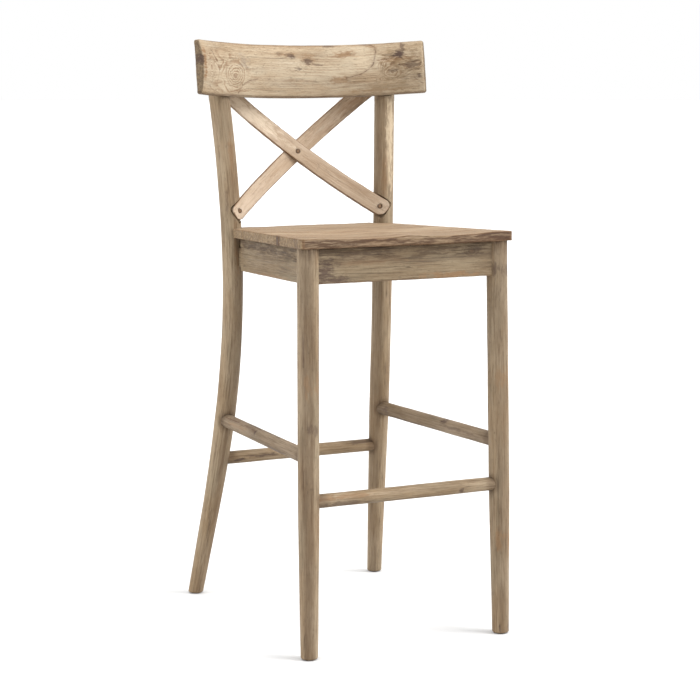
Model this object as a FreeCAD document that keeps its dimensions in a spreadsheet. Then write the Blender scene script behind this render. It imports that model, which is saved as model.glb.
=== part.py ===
"""Bar stool with a back and a footrest, in turned and bent hardwood.

Millimetres, +Z up. The origin is on the floor at the middle of the stool's outline, and the sitter faces -Y.
Two straight front legs and two curved rear posts carry aprons, a board seat and round stretchers. A bent
crest rail is let into the front of the posts, over two thin bent slats that cross. Each slat starts on the
front of one post and ends behind the other.
"""

import FreeCAD, Part
import Sketcher
import math
import os

from FreeCAD import Placement, Rotation, Vector

SIZES = [
    # overall
    ("glue_gap", 0.08, "play left for glue around each tenon and in each socket"),
    ("glide_rise", 1.2, "height of the feet above the floor, on their glides"),
    # front legs
    ("leg_diameter", 39.0, "front leg above its taper"),
    ("leg_foot_diameter", 31.5, "front leg at the floor"),
    ("leg_taper_top", 270.0, "height where the front leg's taper starts"),
    ("leg_foot_x", 200.3, "front foot from the centre plane"),
    ("leg_foot_y", -266.8, "front foot"),
    ("leg_top_x", 193.0, "front leg's axis at the seat"),
    ("leg_top_y", -249.5, "front leg's axis at the seat"),
    ("leg_length", 775.0, "front leg before its top is trimmed to the seat"),
    ("foot_edge", 3.0, "rounding under each foot"),
    # rear posts: five stations, evenly spaced in height, on one smooth centre line
    ("post_diameter", 40.0, "rear post above its taper"),
    ("post_foot_diameter", 30.0, "rear post at the floor"),
    ("post_taper_top", 370.0, "height where the rear post's taper starts"),
    ("post_top", 1098.0, "top of the rear post"),
    ("station_step", 275.0, "height from one station to the next"),
    ("station_0_x", 204.6, "post centre at the floor"),
    ("station_1_x", 179.0, "post centre, one step up"),
    ("station_2_x", 164.9, "post centre, two steps up"),
    ("station_3_x", 169.5, "post centre, three steps up"),
    ("station_4_x", 186.8, "post centre, four steps up"),
    ("station_0_y", 268.2, "post centre at the floor"),
    ("station_1_y", 203.2, "post centre, one step up"),
    ("station_2_y", 161.2, "post centre, two steps up"),
    ("station_3_y", 161.6, "post centre, three steps up"),
    ("station_4_y", 191.0, "post centre, four steps up"),
    # stretchers
    ("side_stretcher_diameter", 27.0, "left and right stretchers"),
    ("cross_stretcher_diameter", 25.5, "front and rear stretchers"),
    ("side_stretcher_height", 368.0, "axis of the side stretchers above the floor"),
    ("front_stretcher_height", 288.0, "axis of the footrest above the floor"),
    ("rear_stretcher_height", 287.0, "axis of the rear stretcher above the floor"),
    ("stretcher_inset", 3.0, "stretcher end short of the leg's axis"),
    ("socket_extra", 0.6, "socket beyond its stretcher's end"),
    # seat
    ("seat_thickness", 18.0, "seat boards"),
    ("seat_top", 762.0, "top of the seat's front edge above the floor"),
    ("seat_front_y", -272.0, "front edge of the seat"),
    ("seat_tilt", 1.6, "backward tilt of the seat, degrees"),
    ("seat_front_width", 433.0, "seat at its front edge"),
    ("seat_depth", 451.0, "seat, front to back"),
    ("seat_rear_width", 334.0, "seat's sides carried on to its rear edge"),
    ("seat_corner", 6.5, "radius of the seat's front corners"),
    ("seat_post_gap", 1.5, "gap between seat and rear posts"),
    ("front_board", 126.0, "width of the front board"),
    ("second_board", 110.0, "width of the second board"),
    ("third_board", 108.0, "width of the third board"),
    ("scoop_radius", 1100.0, "radius of the two shallow seat scoops"),
    ("scoop_depth", 3.5, "depth of each scoop at the front edge"),
    ("scoop_rear_depth", 0.6, "depth of each scoop at the rear edge"),
    ("scoop_spacing", 172.0, "distance between the two scoops' centre lines"),
    # aprons
    ("apron_height", 64.0, "aprons"),
    ("apron_thickness", 20.0, "aprons"),
    ("apron_front_proud", 10.0, "front apron's face ahead of the legs' axes"),
    ("side_apron_front_x", 199.4, "side apron's outer face beside the front leg's axis"),
    ("side_apron_rear_x", 158.3, "side apron's outer face beside the rear post's axis"),
    ("side_apron_rear_gap", 12.0, "side apron's rear end short of the post"),
    ("tenon_thickness", 10.0, "apron tenons"),
    ("tenon_height", 36.0, "apron tenons"),
    ("tenon_top", 20.0, "apron tenons below the seat"),
    ("tenon_depth", 13.0, "apron tenons inside a leg"),
    ("mortise_extra", 1.0, "mortise beyond its tenon's end"),
    ("side_tenon_inset", 1.0, "side apron's tenons from its outer face"),
    # corner blocks
    ("block_reach", 62.0, "corner block, from the inner corner along each apron"),
    ("block_thickness", 22.0, "corner blocks"),
    ("block_height", 40.0, "corner blocks"),
    ("block_trim", 8.0, "corner block short of the aprons' outer corner, along its length"),
    ("block_shift", 4.0, "sideways allowance for the slant of the side apron beside a block"),
    # crest rail
    ("rail_radius", 445.0, "crest rail's centre line in plan"),
    ("rail_thickness", 22.0, "crest rail at mid-height"),
    ("rail_height", 104.0, "crest rail"),
    ("rail_half_angle", 33.1, "half of the crest rail's arc, degrees"),
    ("rail_crown_radius", 155.0, "upright curve of the crest rail's front face"),
    ("rail_edge", 5.0, "rounding of the crest rail's edges"),
    ("rail_lean", 8.3, "backward lean of the crest rail and slats, degrees"),
    ("rail_mid_y", 189.3, "middle of the crest rail's lower edge"),
    ("rail_mid_z", 1000.9, "middle of the crest rail's lower edge"),
    # back slats, in a frame that leans with the crest rail and starts where the slats cross
    ("slat_width", 34.0, "back slats"),
    ("slat_thickness", 8.5, "back slats"),
    ("slat_corner", 16.0, "rounding of the slats' ends"),
    ("slat_slope", 37.7, "angle of each slat in the leaning frame, degrees"),
    ("slat_cross_y", 214.3, "where the slats cross"),
    ("slat_cross_z", 893.8, "where the slats cross"),
    ("slat_low_x", 165.6, "lower end of a slat's centre line"),
    ("slat_low_y", -55.0, "lower end of a slat's centre line, ahead of the crossing"),
    ("slat_high_x", 175.2, "upper end of a slat's centre line"),
    ("slat_high_y", -26.0, "upper end of a slat's centre line, ahead of the crossing"),
    ("front_slat_rise", 36.0, "rise of the front slat's arc over its chord"),
    ("slat_low_end", 166.0, "where a slat's lower end is cut off"),
    ("slat_high_end", 190.0, "where a slat's upper end is cut off"),
    ("slat_low_fixing", 153.0, "screw at a slat's lower end"),
    ("slat_high_fixing", 178.0, "screw at a slat's upper end"),
    ("facet_margin", 4.0, "flat on the post beyond the slat that sits on it"),
    # screws and plugs
    ("plug_diameter", 9.6, "wooden plugs"),
    ("plug_length", 2.6, "wooden plugs"),
    ("head_diameter", 8.0, "screw heads"),
    ("head_length", 2.6, "screw heads"),
    ("shank_diameter", 4.0, "screw shanks"),
    ("corner_screw_length", 72.0, "leg screws through the corner blocks"),
    ("corner_screw_drop", 11.0, "leg screws below the seat"),
    ("corner_screw_stand", 3.0, "leg screws' heads clear of the corner blocks"),
    ("seat_screw_length", 48.0, "seat screws through the corner blocks"),
    ("seat_screw_spacing", 44.0, "two seat screws in one corner block"),
    ("slat_end_screw_length", 26.0, "screws at the slats' lower ends"),
    ("slat_cross_screw_length", 9.0, "screw where the slats cross"),
    ("rail_screw_length", 40.0, "crest rail screws"),
    ("upper_rail_screw_height", 78.0, "upper crest rail screw above the rail's lower edge"),
    ("upper_rail_screw_sink", 0.4, "upper crest rail screw's plug under the post's rear"),
    # glides
    ("glide_diameter", 19.0, "foot glides"),
    ("glide_thickness", 4.0, "foot glides"),
]

POST_SECTIONS = 12
STATIONS = 5
TOUCH = 0.01
SIDES = {"left": -1, "right": 1}
UP = Vector(0, 0, 1)
# Lengths of the tools that shape the pieces. They only have to be long enough to reach through.
REACH = 900.0
BEYOND = 60.0
CLEAR = 40.0
MOUTH = 20.0
POST_BELOW = 12.0
TOP_BAND = 10.0
TENON_GRIP = 60.0
NOTCH_WIDTH, NOTCH_HEIGHT = 80.0, 90.0
HOUSING_ANGLE, HOUSING_UNDER = 6.0, 1.0
SLAT_RING_HALF, SLAT_RING_ANGLE = 260.0, 50.0
SLAT_SEAT_CLEAR, CROSSING_CLEAR = 18.0, 6.0

doc = FreeCAD.newDocument("bar_stool")
pieces = {}


# --- the sheet and the small helpers -------------------------------------------------------------

def add_sheet():
    """Write every driving dimension to the spreadsheet, one row each."""
    table = doc.addObject("Spreadsheet::Sheet", "Sizes")
    for row, (alias, value, meaning) in enumerate(SIZES, start=1):
        table.set(f"A{row}", alias)
        table.set(f"B{row}", str(value))
        table.set(f"C{row}", meaning)
        table.setAlias(f"B{row}", alias)
    doc.recompute()
    return table


sheet = add_sheet()


def size(alias):
    """A driving dimension as a number."""
    return float(sheet.get(alias))


def add(kind, name, place=None, **formulas):
    """Add an object whose named properties follow the sheet."""
    item = doc.addObject(kind, name)
    for prop, formula in formulas.items():
        item.setExpression(prop, formula)
    if place is not None:
        item.Placement = place
    return item


def rod(name, start, end, diameter):
    """A round bar between two points; diameter is a formula on the sheet."""
    axis = end - start
    item = add("Part::Cylinder", name, Placement(start, Rotation(UP, axis)), Radius=f"({diameter}) / 2")
    item.Height = axis.Length
    return item


def cut(name, base, tools):
    """Take each tool away from the base, one after another."""
    for number, tool in enumerate(tools):
        step = doc.addObject("Part::Cut", f"{name}_cut_{number}")
        step.Base, step.Tool = base, tool
        base = step
    return base


def join(name, shapes):
    """Join overlapping shapes into one."""
    item = doc.addObject("Part::MultiFuse", name)
    item.Shapes = shapes
    item.Refine = True
    return item


def overlap(name, base, tool):
    """What two shapes have in common."""
    item = doc.addObject("Part::Common", name)
    item.Base, item.Tool = base, tool
    return item


def group(name, solids):
    """Several separate solids kept together as one piece."""
    item = doc.addObject("Part::Compound", name)
    item.Links = solids
    return item


def round_edges(name, base, radius, chosen):
    """Round the base's edges that pass the test."""
    doc.recompute()
    item = doc.addObject("Part::Fillet", name)
    item.Base = base
    edges = enumerate(base.Shape.Edges, 1)
    item.Edges = [(number, radius, radius) for number, edge in edges if chosen(edge)]
    return item


def keep(label, item):
    """Name a finished piece."""
    item.Label = label
    pieces[label] = item


def straight(edge):
    return isinstance(edge.Curve, Part.Line)


# --- frames and centre lines ---------------------------------------------------------------------

def seat_frame():
    """Origin at the middle of the seat's front lower edge, Y along the seat, Z out of its top."""
    corner = Vector(0, size("seat_front_y"), size("seat_top") - size("seat_thickness"))
    return Placement(corner, Rotation(Vector(1, 0, 0), -size("seat_tilt")))


def back_frame():
    """Origin where the slats cross, Z leaning back with the crest rail."""
    middle = Vector(0, size("slat_cross_y"), size("slat_cross_z"))
    return Placement(middle, Rotation(Vector(1, 0, 0), -size("rail_lean")))


def rail_frame():
    """Origin at the middle of the crest rail's lower edge, leaning back with the rail."""
    middle = Vector(0, size("rail_mid_y"), size("rail_mid_z"))
    return Placement(middle, Rotation(Vector(1, 0, 0), -size("rail_lean")))


def leg_point(side, height):
    """The front leg's axis at a height."""
    foot = Vector(size("leg_foot_x"), size("leg_foot_y"), 0)
    top = Vector(size("leg_top_x"), size("leg_top_y"), size("seat_top"))
    point = foot + (top - foot) * (height / size("seat_top"))
    return Vector(side * point.x, point.y, height)


def station_curve(axis, height):
    """The one quartic through the five stations, in x or in y."""
    step = height / size("station_step")
    total = 0.0
    for here in range(STATIONS):
        weight = 1.0
        for other in range(STATIONS):
            if other != here:
                weight *= (step - other) / (here - other)
        total += weight * size(f"station_{here}_{axis}")
    return total


def post_point(side, height):
    """The rear post's centre line at a height."""
    return Vector(side * station_curve("x", height), station_curve("y", height), height)


def post_direction(side, height):
    return (post_point(side, height + 1) - post_point(side, height - 1)).normalize()


def apron_level():
    """Height of the aprons' middle, where the legs' axes are read for the apron joints."""
    return size("seat_top") - size("seat_thickness") - size("apron_height") / 2


def in_seat(point):
    return seat_frame().inverse().multVec(point)


# --- tools that several pieces share -------------------------------------------------------------

def seat_space():
    """Everything above the seat's underside, which trims the front legs."""
    place = seat_frame() * Placement(Vector(-REACH / 2, -REACH / 4, 0), Rotation())
    item = add("Part::Box", "seat_space", place)
    item.Length, item.Width, item.Height = REACH, REACH, REACH / 4
    return item


def floor_space():
    """Everything below the feet."""
    item = add("Part::Box", "floor_space", Placement(Vector(-REACH / 2, -REACH / 2, -REACH), Rotation()))
    item.Length, item.Width = REACH, REACH
    item.Height = REACH + size("glide_rise")
    return item


def stretcher_lines():
    """Each stretcher's two axis points, where it meets the legs' axes."""
    low, high = size("front_stretcher_height"), size("rear_stretcher_height")
    side = size("side_stretcher_height")
    cross_wide, side_wide = "Sizes.cross_stretcher_diameter", "Sizes.side_stretcher_diameter"
    return {
        "front_footrest_stretcher": (leg_point(-1, low), leg_point(1, low), cross_wide),
        "rear_stretcher": (post_point(-1, high), post_point(1, high), cross_wide),
        "left_stretcher": (leg_point(-1, side), post_point(-1, side), side_wide),
        "right_stretcher": (leg_point(1, side), post_point(1, side), side_wide),
    }


def make_stretchers():
    """Round bars, and beside each the slightly larger bar that bores its sockets."""
    bores = {}
    for name, (start, end, diameter) in stretcher_lines().items():
        along = (end - start).normalize()
        inset = along * size("stretcher_inset")
        socket = along * (size("stretcher_inset") - size("socket_extra"))
        keep(name, rod(f"{name}_bar", start + inset, end - inset, diameter))
        bores[name] = rod(f"{name}_bore", start + socket, end - socket, f"{diameter} + 2 * Sizes.glue_gap")
    return bores


# --- legs and posts ------------------------------------------------------------------------------

def leg_blank(side_name):
    """A turned front leg: a round bar with a long taper to the foot, revolved about Z."""
    body = doc.addObject("PartDesign::Body", f"{side_name}_leg_body")
    sketch = body.newObject("Sketcher::SketchObject", f"{side_name}_leg_profile")
    plane = [face for face in body.Origin.OriginFeatures if face.Role == "XZ_Plane"][0]
    sketch.AttachmentSupport = [(plane, "")]
    sketch.MapMode = "FlatFace"
    foot, full = size("leg_foot_diameter") / 2, size("leg_diameter") / 2
    taper, top = size("leg_taper_top"), size("leg_length")
    corners = [Vector(0, 0, 0), Vector(foot, 0, 0), Vector(full, taper, 0), Vector(full, top, 0),
               Vector(0, top, 0)]
    count = len(corners)
    for number in range(count):
        sketch.addGeometry(Part.LineSegment(corners[number], corners[(number + 1) % count]), False)
    for number in range(count):
        sketch.addConstraint(Sketcher.Constraint("Coincident", number, 2, (number + 1) % count, 1))
    sketch.addConstraint(Sketcher.Constraint("Coincident", 0, 1, -1, 1))
    sketch.addConstraint(Sketcher.Constraint("Horizontal", 0))
    sketch.addConstraint(Sketcher.Constraint("Vertical", 2))
    sketch.addConstraint(Sketcher.Constraint("Horizontal", 3))
    sketch.addConstraint(Sketcher.Constraint("Vertical", 4))
    driven = [
        (Sketcher.Constraint("DistanceX", 0, 1, 0, 2, foot), "Sizes.leg_foot_diameter / 2"),
        (Sketcher.Constraint("DistanceX", -1, 1, 1, 2, full), "Sizes.leg_diameter / 2"),
        (Sketcher.Constraint("DistanceY", -1, 1, 1, 2, taper), "Sizes.leg_taper_top"),
        (Sketcher.Constraint("DistanceY", -1, 1, 3, 2, top), "Sizes.leg_length"),
    ]
    for constraint, formula in driven:
        number = sketch.addConstraint(constraint)
        sketch.setExpression(f"Constraints[{number}]", formula)
    turned = body.newObject("PartDesign::Revolution", f"{side_name}_leg_turned")
    turned.Profile = sketch
    turned.ReferenceAxis = (sketch, ["V_Axis"])
    turned.Angle = 360
    doc.recompute()
    return body


def make_leg(side_name, bores, mortises, leg_screws):
    """A front leg: the turned blank, splayed, trimmed to floor and seat, with its joints cut."""
    side = SIDES[side_name]
    blank = leg_blank(side_name)
    foot, top = leg_point(side, 0), leg_point(side, size("seat_top"))
    blank.Placement = Placement(foot, Rotation(UP, top - foot))
    trimmed = cut(f"front_{side_name}_leg_trim", blank, [floor_space(), seat_space()])
    rounded = round_edges(f"front_{side_name}_leg_round", trimmed, size("foot_edge"), at_floor)
    keep(f"front_{side_name}_leg", cut(f"front_{side_name}_leg", rounded, [
        bores["front_footrest_stretcher"], bores[f"{side_name}_stretcher"],
        mortises[f"front_{side_name}"], mortises[f"{side_name}_front"],
        leg_screws[f"front_{side_name}"], glide_recess(f"front_{side_name}", foot)]))


def at_floor(edge):
    return edge.BoundBox.ZMax < size("glide_rise") + TOUCH and not straight(edge)


def at_top(edge):
    return edge.BoundBox.ZMin > size("post_top") - TOP_BAND


def post_blank(side_name):
    """A curved rear post: round sections square to the centre line, lofted from foot to top."""
    side = SIDES[side_name]
    sections = []
    for number in range(POST_SECTIONS):
        height = (size("post_top") + POST_BELOW) * number / (POST_SECTIONS - 1) - POST_BELOW
        place = Placement(post_point(side, height), Rotation(UP, post_direction(side, height)))
        radius = "Sizes.post_diameter / 2"
        if height < size("post_taper_top"):
            radius = ("Sizes.post_foot_diameter / 2 + (Sizes.post_diameter - Sizes.post_foot_diameter) / 2"
                      f" * {height} / Sizes.post_taper_top")
        sections.append(add("Part::Circle", f"{side_name}_post_section_{number}", place, Radius=radius))
    loft = doc.addObject("Part::Loft", f"{side_name}_post_loft")
    loft.Sections = sections
    loft.Solid, loft.Ruled, loft.Closed = True, False, False
    return loft


def make_post(side_name, bores, mortises, leg_screws, rail_seat, slat_seats, fixings):
    """A rear post with its sockets, mortises, and the seats for the crest rail and the slats."""
    side = SIDES[side_name]
    foot = post_point(side, 0)
    trimmed = cut(f"rear_{side_name}_post_trim", post_blank(side_name), [floor_space()])
    rounded = round_edges(f"rear_{side_name}_post_round", trimmed, size("foot_edge"),
                          lambda edge: at_floor(edge) or at_top(edge))
    keep(f"rear_{side_name}_post", cut(f"rear_{side_name}_post", rounded, [
        bores["rear_stretcher"], bores[f"{side_name}_stretcher"],
        mortises[f"rear_{side_name}"], mortises[f"{side_name}_rear"],
        leg_screws[f"rear_{side_name}"], glide_recess(f"rear_{side_name}", foot),
        rail_seat, *slat_seats[side_name], *fixings[side_name]]))


def glide_recess(name, foot):
    """A shallow round recess for the glide under a foot."""
    floor = Vector(foot.x, foot.y, 0)
    top = Vector(foot.x, foot.y, size("glide_thickness"))
    return rod(f"{name}_glide_recess", floor, top, "Sizes.glide_diameter + 2 * Sizes.glue_gap")


def make_glides():
    """Four plastic discs, let into the feet and standing a little proud."""
    discs = []
    for side_name, side in SIDES.items():
        for row, foot in (("front", leg_point(side, 0)), ("rear", post_point(side, 0))):
            floor = Vector(foot.x, foot.y, 0)
            top = floor + UP * (size("glide_thickness") - size("glue_gap"))
            discs.append(rod(f"{row}_{side_name}_glide", floor, top, "Sizes.glide_diameter"))
    keep("foot_glides", group("foot_glide_set", discs))


# --- aprons and corner blocks --------------------------------------------------------------------

def board(name, frame, start, end):
    """An apron's board: its outer face on the line from start to end, its thickness towards the inside."""
    along = end - start
    turn = Rotation(UP, math.degrees(math.atan2(along.y, along.x)))
    place = frame * Placement(Vector(start.x, start.y, 0), turn)
    place = place * Placement(Vector(0, 0, -size("apron_height")), Rotation())
    item = add("Part::Box", name, place, Width="Sizes.apron_thickness", Height="Sizes.apron_height")
    item.Length = along.Length
    return item, place


def tenon(name, place, start, length, inset, play):
    """A tenon on an apron's board, or with play the mortise for it."""
    gap = size("glue_gap") * play
    rise = size("apron_height") - size("tenon_top") - size("tenon_height")
    local = Placement(Vector(start - gap, inset - gap, rise - gap), Rotation())
    item = add("Part::Box", name, place * local,
               Width=f"Sizes.tenon_thickness + {2 * play} * Sizes.glue_gap",
               Height=f"Sizes.tenon_height + {2 * play} * Sizes.glue_gap")
    item.Length = length + 2 * gap
    return item


def apron(name, start, end, low_end, high_end, inset):
    """An apron between two legs: low_end and high_end are (cope tool, mortise key)."""
    frame = seat_frame()
    blank, place = board(f"{name}_board", frame, start, end)
    length = (end - start).Length
    coped = cut(f"{name}_coped", blank, [low_end[0], high_end[0]])
    low = size("leg_diameter") / 2 - size("tenon_depth")
    high = length - low - TENON_GRIP
    extra = size("mortise_extra")
    parts = [tenon(f"{name}_tenon_low", place, low, TENON_GRIP, inset, 0),
             tenon(f"{name}_tenon_high", place, high, TENON_GRIP, inset, 0)]
    slots = {
        low_end[1]: tenon(f"{name}_mortise_low", place, low - extra, TENON_GRIP, inset, 1),
        high_end[1]: tenon(f"{name}_mortise_high", place, high + extra, TENON_GRIP, inset, 1),
    }
    whole = join(f"{name}_joined", [coped, *parts])
    return whole, coped, slots


def through_bar(name, point, direction, diameter):
    """A round bar along a leg's axis, which shapes what meets that leg."""
    return rod(name, point - direction * BEYOND, point + direction * BEYOND, diameter)


def make_aprons():
    """Front, rear and side aprons: the whole aprons, their boards without tenons, and their mortises."""
    level = apron_level()
    leg_cope = "Sizes.leg_diameter + 2 * Sizes.glue_gap"
    post_cope = "Sizes.post_diameter + 2 * Sizes.glue_gap"
    gap_cope = "Sizes.post_diameter + 2 * Sizes.side_apron_rear_gap"
    copes = {}
    for side_name, side in SIDES.items():
        leg, post = leg_point(side, level), post_point(side, level)
        rake = (leg_point(side, level + 1) - leg).normalize()
        lean = post_direction(side, level)
        copes[f"front_{side_name}"] = through_bar(f"front_{side_name}_cope", leg, rake, leg_cope)
        copes[f"rear_{side_name}"] = through_bar(f"rear_{side_name}_cope", post, lean, post_cope)
        copes[f"gap_{side_name}"] = through_bar(f"rear_{side_name}_gap", post, lean, gap_cope)
    wholes, boards, mortises = {}, {}, {}
    half = (size("apron_thickness") - size("tenon_thickness")) / 2

    leg = in_seat(leg_point(1, level))
    line = leg.y - size("apron_front_proud")
    low, high = (copes["front_left"], "front_left"), (copes["front_right"], "front_right")
    start, end = Vector(-leg.x, line, 0), Vector(leg.x, line, 0)
    whole, coped, slots = apron("front_apron", start, end, low, high, half)
    wholes["front"], boards["front"] = whole, coped
    mortises.update(slots)

    post = in_seat(post_point(1, level))
    line = post.y + size("apron_thickness") / 2
    low, high = (copes["rear_right"], "rear_right"), (copes["rear_left"], "rear_left")
    start, end = Vector(post.x, line, 0), Vector(-post.x, line, 0)
    whole, coped, slots = apron("rear_apron", start, end, low, high, half)
    wholes["rear"], boards["rear"] = whole, coped
    mortises.update(slots)

    front = Vector(size("side_apron_front_x"), leg.y, 0)
    back = Vector(size("side_apron_rear_x"), post.y, 0)
    for side_name, side in SIDES.items():
        near, far = Vector(side * front.x, front.y, 0), Vector(side * back.x, back.y, 0)
        ends = [(copes[f"front_{side_name}"], f"{side_name}_front"),
                (copes[f"gap_{side_name}"], f"{side_name}_rear")]
        start, end = (near, far) if side > 0 else (far, near)
        low, high = ends if side > 0 else ends[::-1]
        whole, coped, slots = apron(f"{side_name}_apron", start, end, low, high, size("side_tenon_inset"))
        wholes[side_name], boards[side_name] = whole, coped
        mortises.update(slots)
    return wholes, boards, mortises


def drill_aprons(wholes, leg_screws):
    """Each apron, with the holes of the leg screws that pass through its two ends."""
    for name, whole in wholes.items():
        bores = [bore for corner_name, bore in leg_screws.items() if name in corner_name.split("_")]
        keep(f"{name}_apron", cut(f"{name}_apron", whole, bores))


def corner(row, side):
    """A corner block's middle and its direction towards the leg, in the seat's frame."""
    level = apron_level()
    thick = size("apron_thickness")
    half_reach = size("block_reach") / 2
    if row == "front":
        leg = in_seat(leg_point(side, level))
        face = leg.y - size("apron_front_proud") + thick
        inner = size("side_apron_front_x") - thick - size("block_shift")
        middle = Vector(side * (inner - half_reach), face + half_reach, 0)
    else:
        leg = in_seat(post_point(side, level))
        face = leg.y - thick / 2
        inner = size("side_apron_rear_x") - thick + size("block_shift")
        middle = Vector(side * (inner - half_reach), face - half_reach, 0)
    aim = Vector(leg.x - middle.x, leg.y - middle.y, 0).normalize()
    return middle, aim


def make_blocks(boards):
    """Corner blocks, glued into the aprons' corners. Returns the leg screws' bores and the seat's bores."""
    leg_screws, seat_bores, screws, seat_screws = {}, [], [], []
    for row in ("front", "rear"):
        for side_name, side in SIDES.items():
            name = f"{row}_{side_name}"
            middle, aim = corner(row, side)
            diagonal = 45.0 * side * (1 if row == "front" else -1)
            length = (size("block_reach") + size("apron_thickness")) * math.sqrt(2) - size("block_trim")
            place = seat_frame() * Placement(middle, Rotation(UP, diagonal))
            shift = Vector(-length / 2, -size("block_thickness") / 2, -size("block_height"))
            block = add("Part::Box", f"{name}_block_bar", place * Placement(shift, Rotation()),
                        Width="Sizes.block_thickness", Height="Sizes.block_height")
            block.Length = length
            fitted = cut(f"{name}_block_fit", block, [boards[row], boards[side_name]])

            across = size("block_thickness") / 2 + size("corner_screw_stand")
            start = seat_frame().multVec(middle - aim * across - UP * size("corner_screw_drop"))
            toward = seat_frame().Rotation.multVec(aim)
            screw, bore = screw_pair(f"{name}_corner_screw", start, toward,
                                     "Sizes.corner_screw_length", False)
            screws.append(screw)
            leg_screws[name] = bore
            bores = [bore]
            along = place.Rotation.multVec(Vector(1, 0, 0))
            for number in (-1, 1):
                offset = along * (number * size("seat_screw_spacing") / 2)
                low = seat_frame().multVec(middle + Vector(0, 0, -size("block_height"))) + offset
                up = seat_frame().Rotation.multVec(UP)
                screw, bore = screw_pair(f"{name}_seat_screw_{number + 1}", low, up,
                                         "Sizes.seat_screw_length", False)
                seat_screws.append(screw)
                seat_bores.append((row, bore))
                bores.append(bore)
            keep(f"{name}_corner_block", cut(f"{name}_corner_block", fitted, bores))
    keep("corner_screws", group("corner_screw_set", screws))
    keep("seat_screws", group("seat_screw_set", seat_screws))
    return leg_screws, seat_bores


# --- screws and plugs ----------------------------------------------------------------------------

def screw_pair(name, surface, direction, length, plugged):
    """A screw whose head lies under the surface point, and the stepped bore for it.

    Under a plug the head starts a plug's length down, without one it starts at the surface.
    """
    sunk = size("plug_length") if plugged else 0.0
    head = surface + direction * sunk
    shank = head + direction * size("head_length")
    tip = shank + direction * size(length.split(".")[1])
    gap = direction * size("glue_gap")
    screw = join(f"{name}_solid", [rod(f"{name}_head", head, shank, "Sizes.head_diameter"),
                                   rod(f"{name}_shank", shank - gap, tip, "Sizes.shank_diameter")])
    wide = "Sizes.plug_diameter" if plugged else "Sizes.head_diameter"
    loose = "2 * Sizes.glue_gap"
    mouth = surface - direction * MOUTH
    bore = join(f"{name}_bore", [rod(f"{name}_mouth", mouth, shank + gap, f"{wide} + {loose}"),
                                 rod(f"{name}_hole", head, tip + gap, f"Sizes.shank_diameter + {loose}")])
    return screw, bore


def plug(name, surface, direction):
    """A short wooden plug over a sunk screw head."""
    end = surface + direction * (size("plug_length") - size("glue_gap"))
    return rod(name, surface, end, "Sizes.plug_diameter")


# --- seat ----------------------------------------------------------------------------------------

def seat_blank():
    """The seat's outline, padded: a panel that narrows to the rear, with rounded front corners."""
    body = doc.addObject("PartDesign::Body", "seat_body")
    sketch = body.newObject("Sketcher::SketchObject", "seat_outline")
    plane = [face for face in body.Origin.OriginFeatures if face.Role == "XY_Plane"][0]
    sketch.AttachmentSupport = [(plane, "")]
    sketch.MapMode = "FlatFace"
    front, rear, deep = size("seat_front_width") / 2, size("seat_rear_width") / 2, size("seat_depth")
    corners = [Vector(-front, 0, 0), Vector(front, 0, 0), Vector(rear, deep, 0), Vector(-rear, deep, 0)]
    for number in range(4):
        sketch.addGeometry(Part.LineSegment(corners[number], corners[(number + 1) % 4]), False)
    for number in range(4):
        sketch.addConstraint(Sketcher.Constraint("Coincident", number, 2, (number + 1) % 4, 1))
    sketch.addConstraint(Sketcher.Constraint("Symmetric", 0, 1, 0, 2, -2))
    sketch.addConstraint(Sketcher.Constraint("Symmetric", 2, 2, 2, 1, -2))
    sketch.addConstraint(Sketcher.Constraint("PointOnObject", 0, 1, -1))
    driven = [
        (Sketcher.Constraint("DistanceX", 0, 1, 0, 2, 2 * front), "Sizes.seat_front_width"),
        (Sketcher.Constraint("DistanceX", 2, 2, 2, 1, 2 * rear), "Sizes.seat_rear_width"),
        (Sketcher.Constraint("DistanceY", 0, 2, 1, 2, deep), "Sizes.seat_depth"),
    ]
    for constraint, formula in driven:
        number = sketch.addConstraint(constraint)
        sketch.setExpression(f"Constraints[{number}]", formula)
    pad = body.newObject("PartDesign::Pad", "seat_pad")
    pad.Profile = sketch
    pad.setExpression("Length", "Sizes.seat_thickness")
    doc.recompute()
    upright = [f"Edge{number}" for number, edge in enumerate(pad.Shape.Edges, 1)
               if edge.BoundBox.ZLength > 1 and edge.BoundBox.YMax < 1]
    corner_round = body.newObject("PartDesign::Fillet", "seat_corner_round")
    corner_round.Base = (pad, upright)
    corner_round.setExpression("Radius", "Sizes.seat_corner")
    doc.recompute()
    body.Placement = seat_frame()
    return body


def post_notches():
    """The two rear notches that let the seat in between the posts."""
    notches = []
    level = size("seat_top") - size("seat_thickness")
    for side_name, side in SIDES.items():
        point = post_point(side, level)
        lean = post_direction(side, level)
        clear = "Sizes.post_diameter + 2 * Sizes.seat_post_gap"
        bar = through_bar(f"{side_name}_seat_notch_round", point, lean, clear)
        centre = in_seat(point)
        radius = size("post_diameter") / 2 + size("seat_post_gap")
        place = seat_frame()
        outer_x = centre.x if side > 0 else centre.x - REACH / 3
        outer = add("Part::Box", f"{side_name}_seat_notch_outer",
                    place * Placement(Vector(outer_x, centre.y - radius, -CLEAR), Rotation()))
        inner_x = centre.x - radius if side > 0 else centre.x + radius - REACH / 3
        inner = add("Part::Box", f"{side_name}_seat_notch_inner",
                    place * Placement(Vector(inner_x, centre.y, -CLEAR), Rotation()))
        for box in (outer, inner):
            box.Length, box.Width, box.Height = REACH / 3, NOTCH_WIDTH, NOTCH_HEIGHT
        notches += [bar, outer, inner]
    return notches


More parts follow.
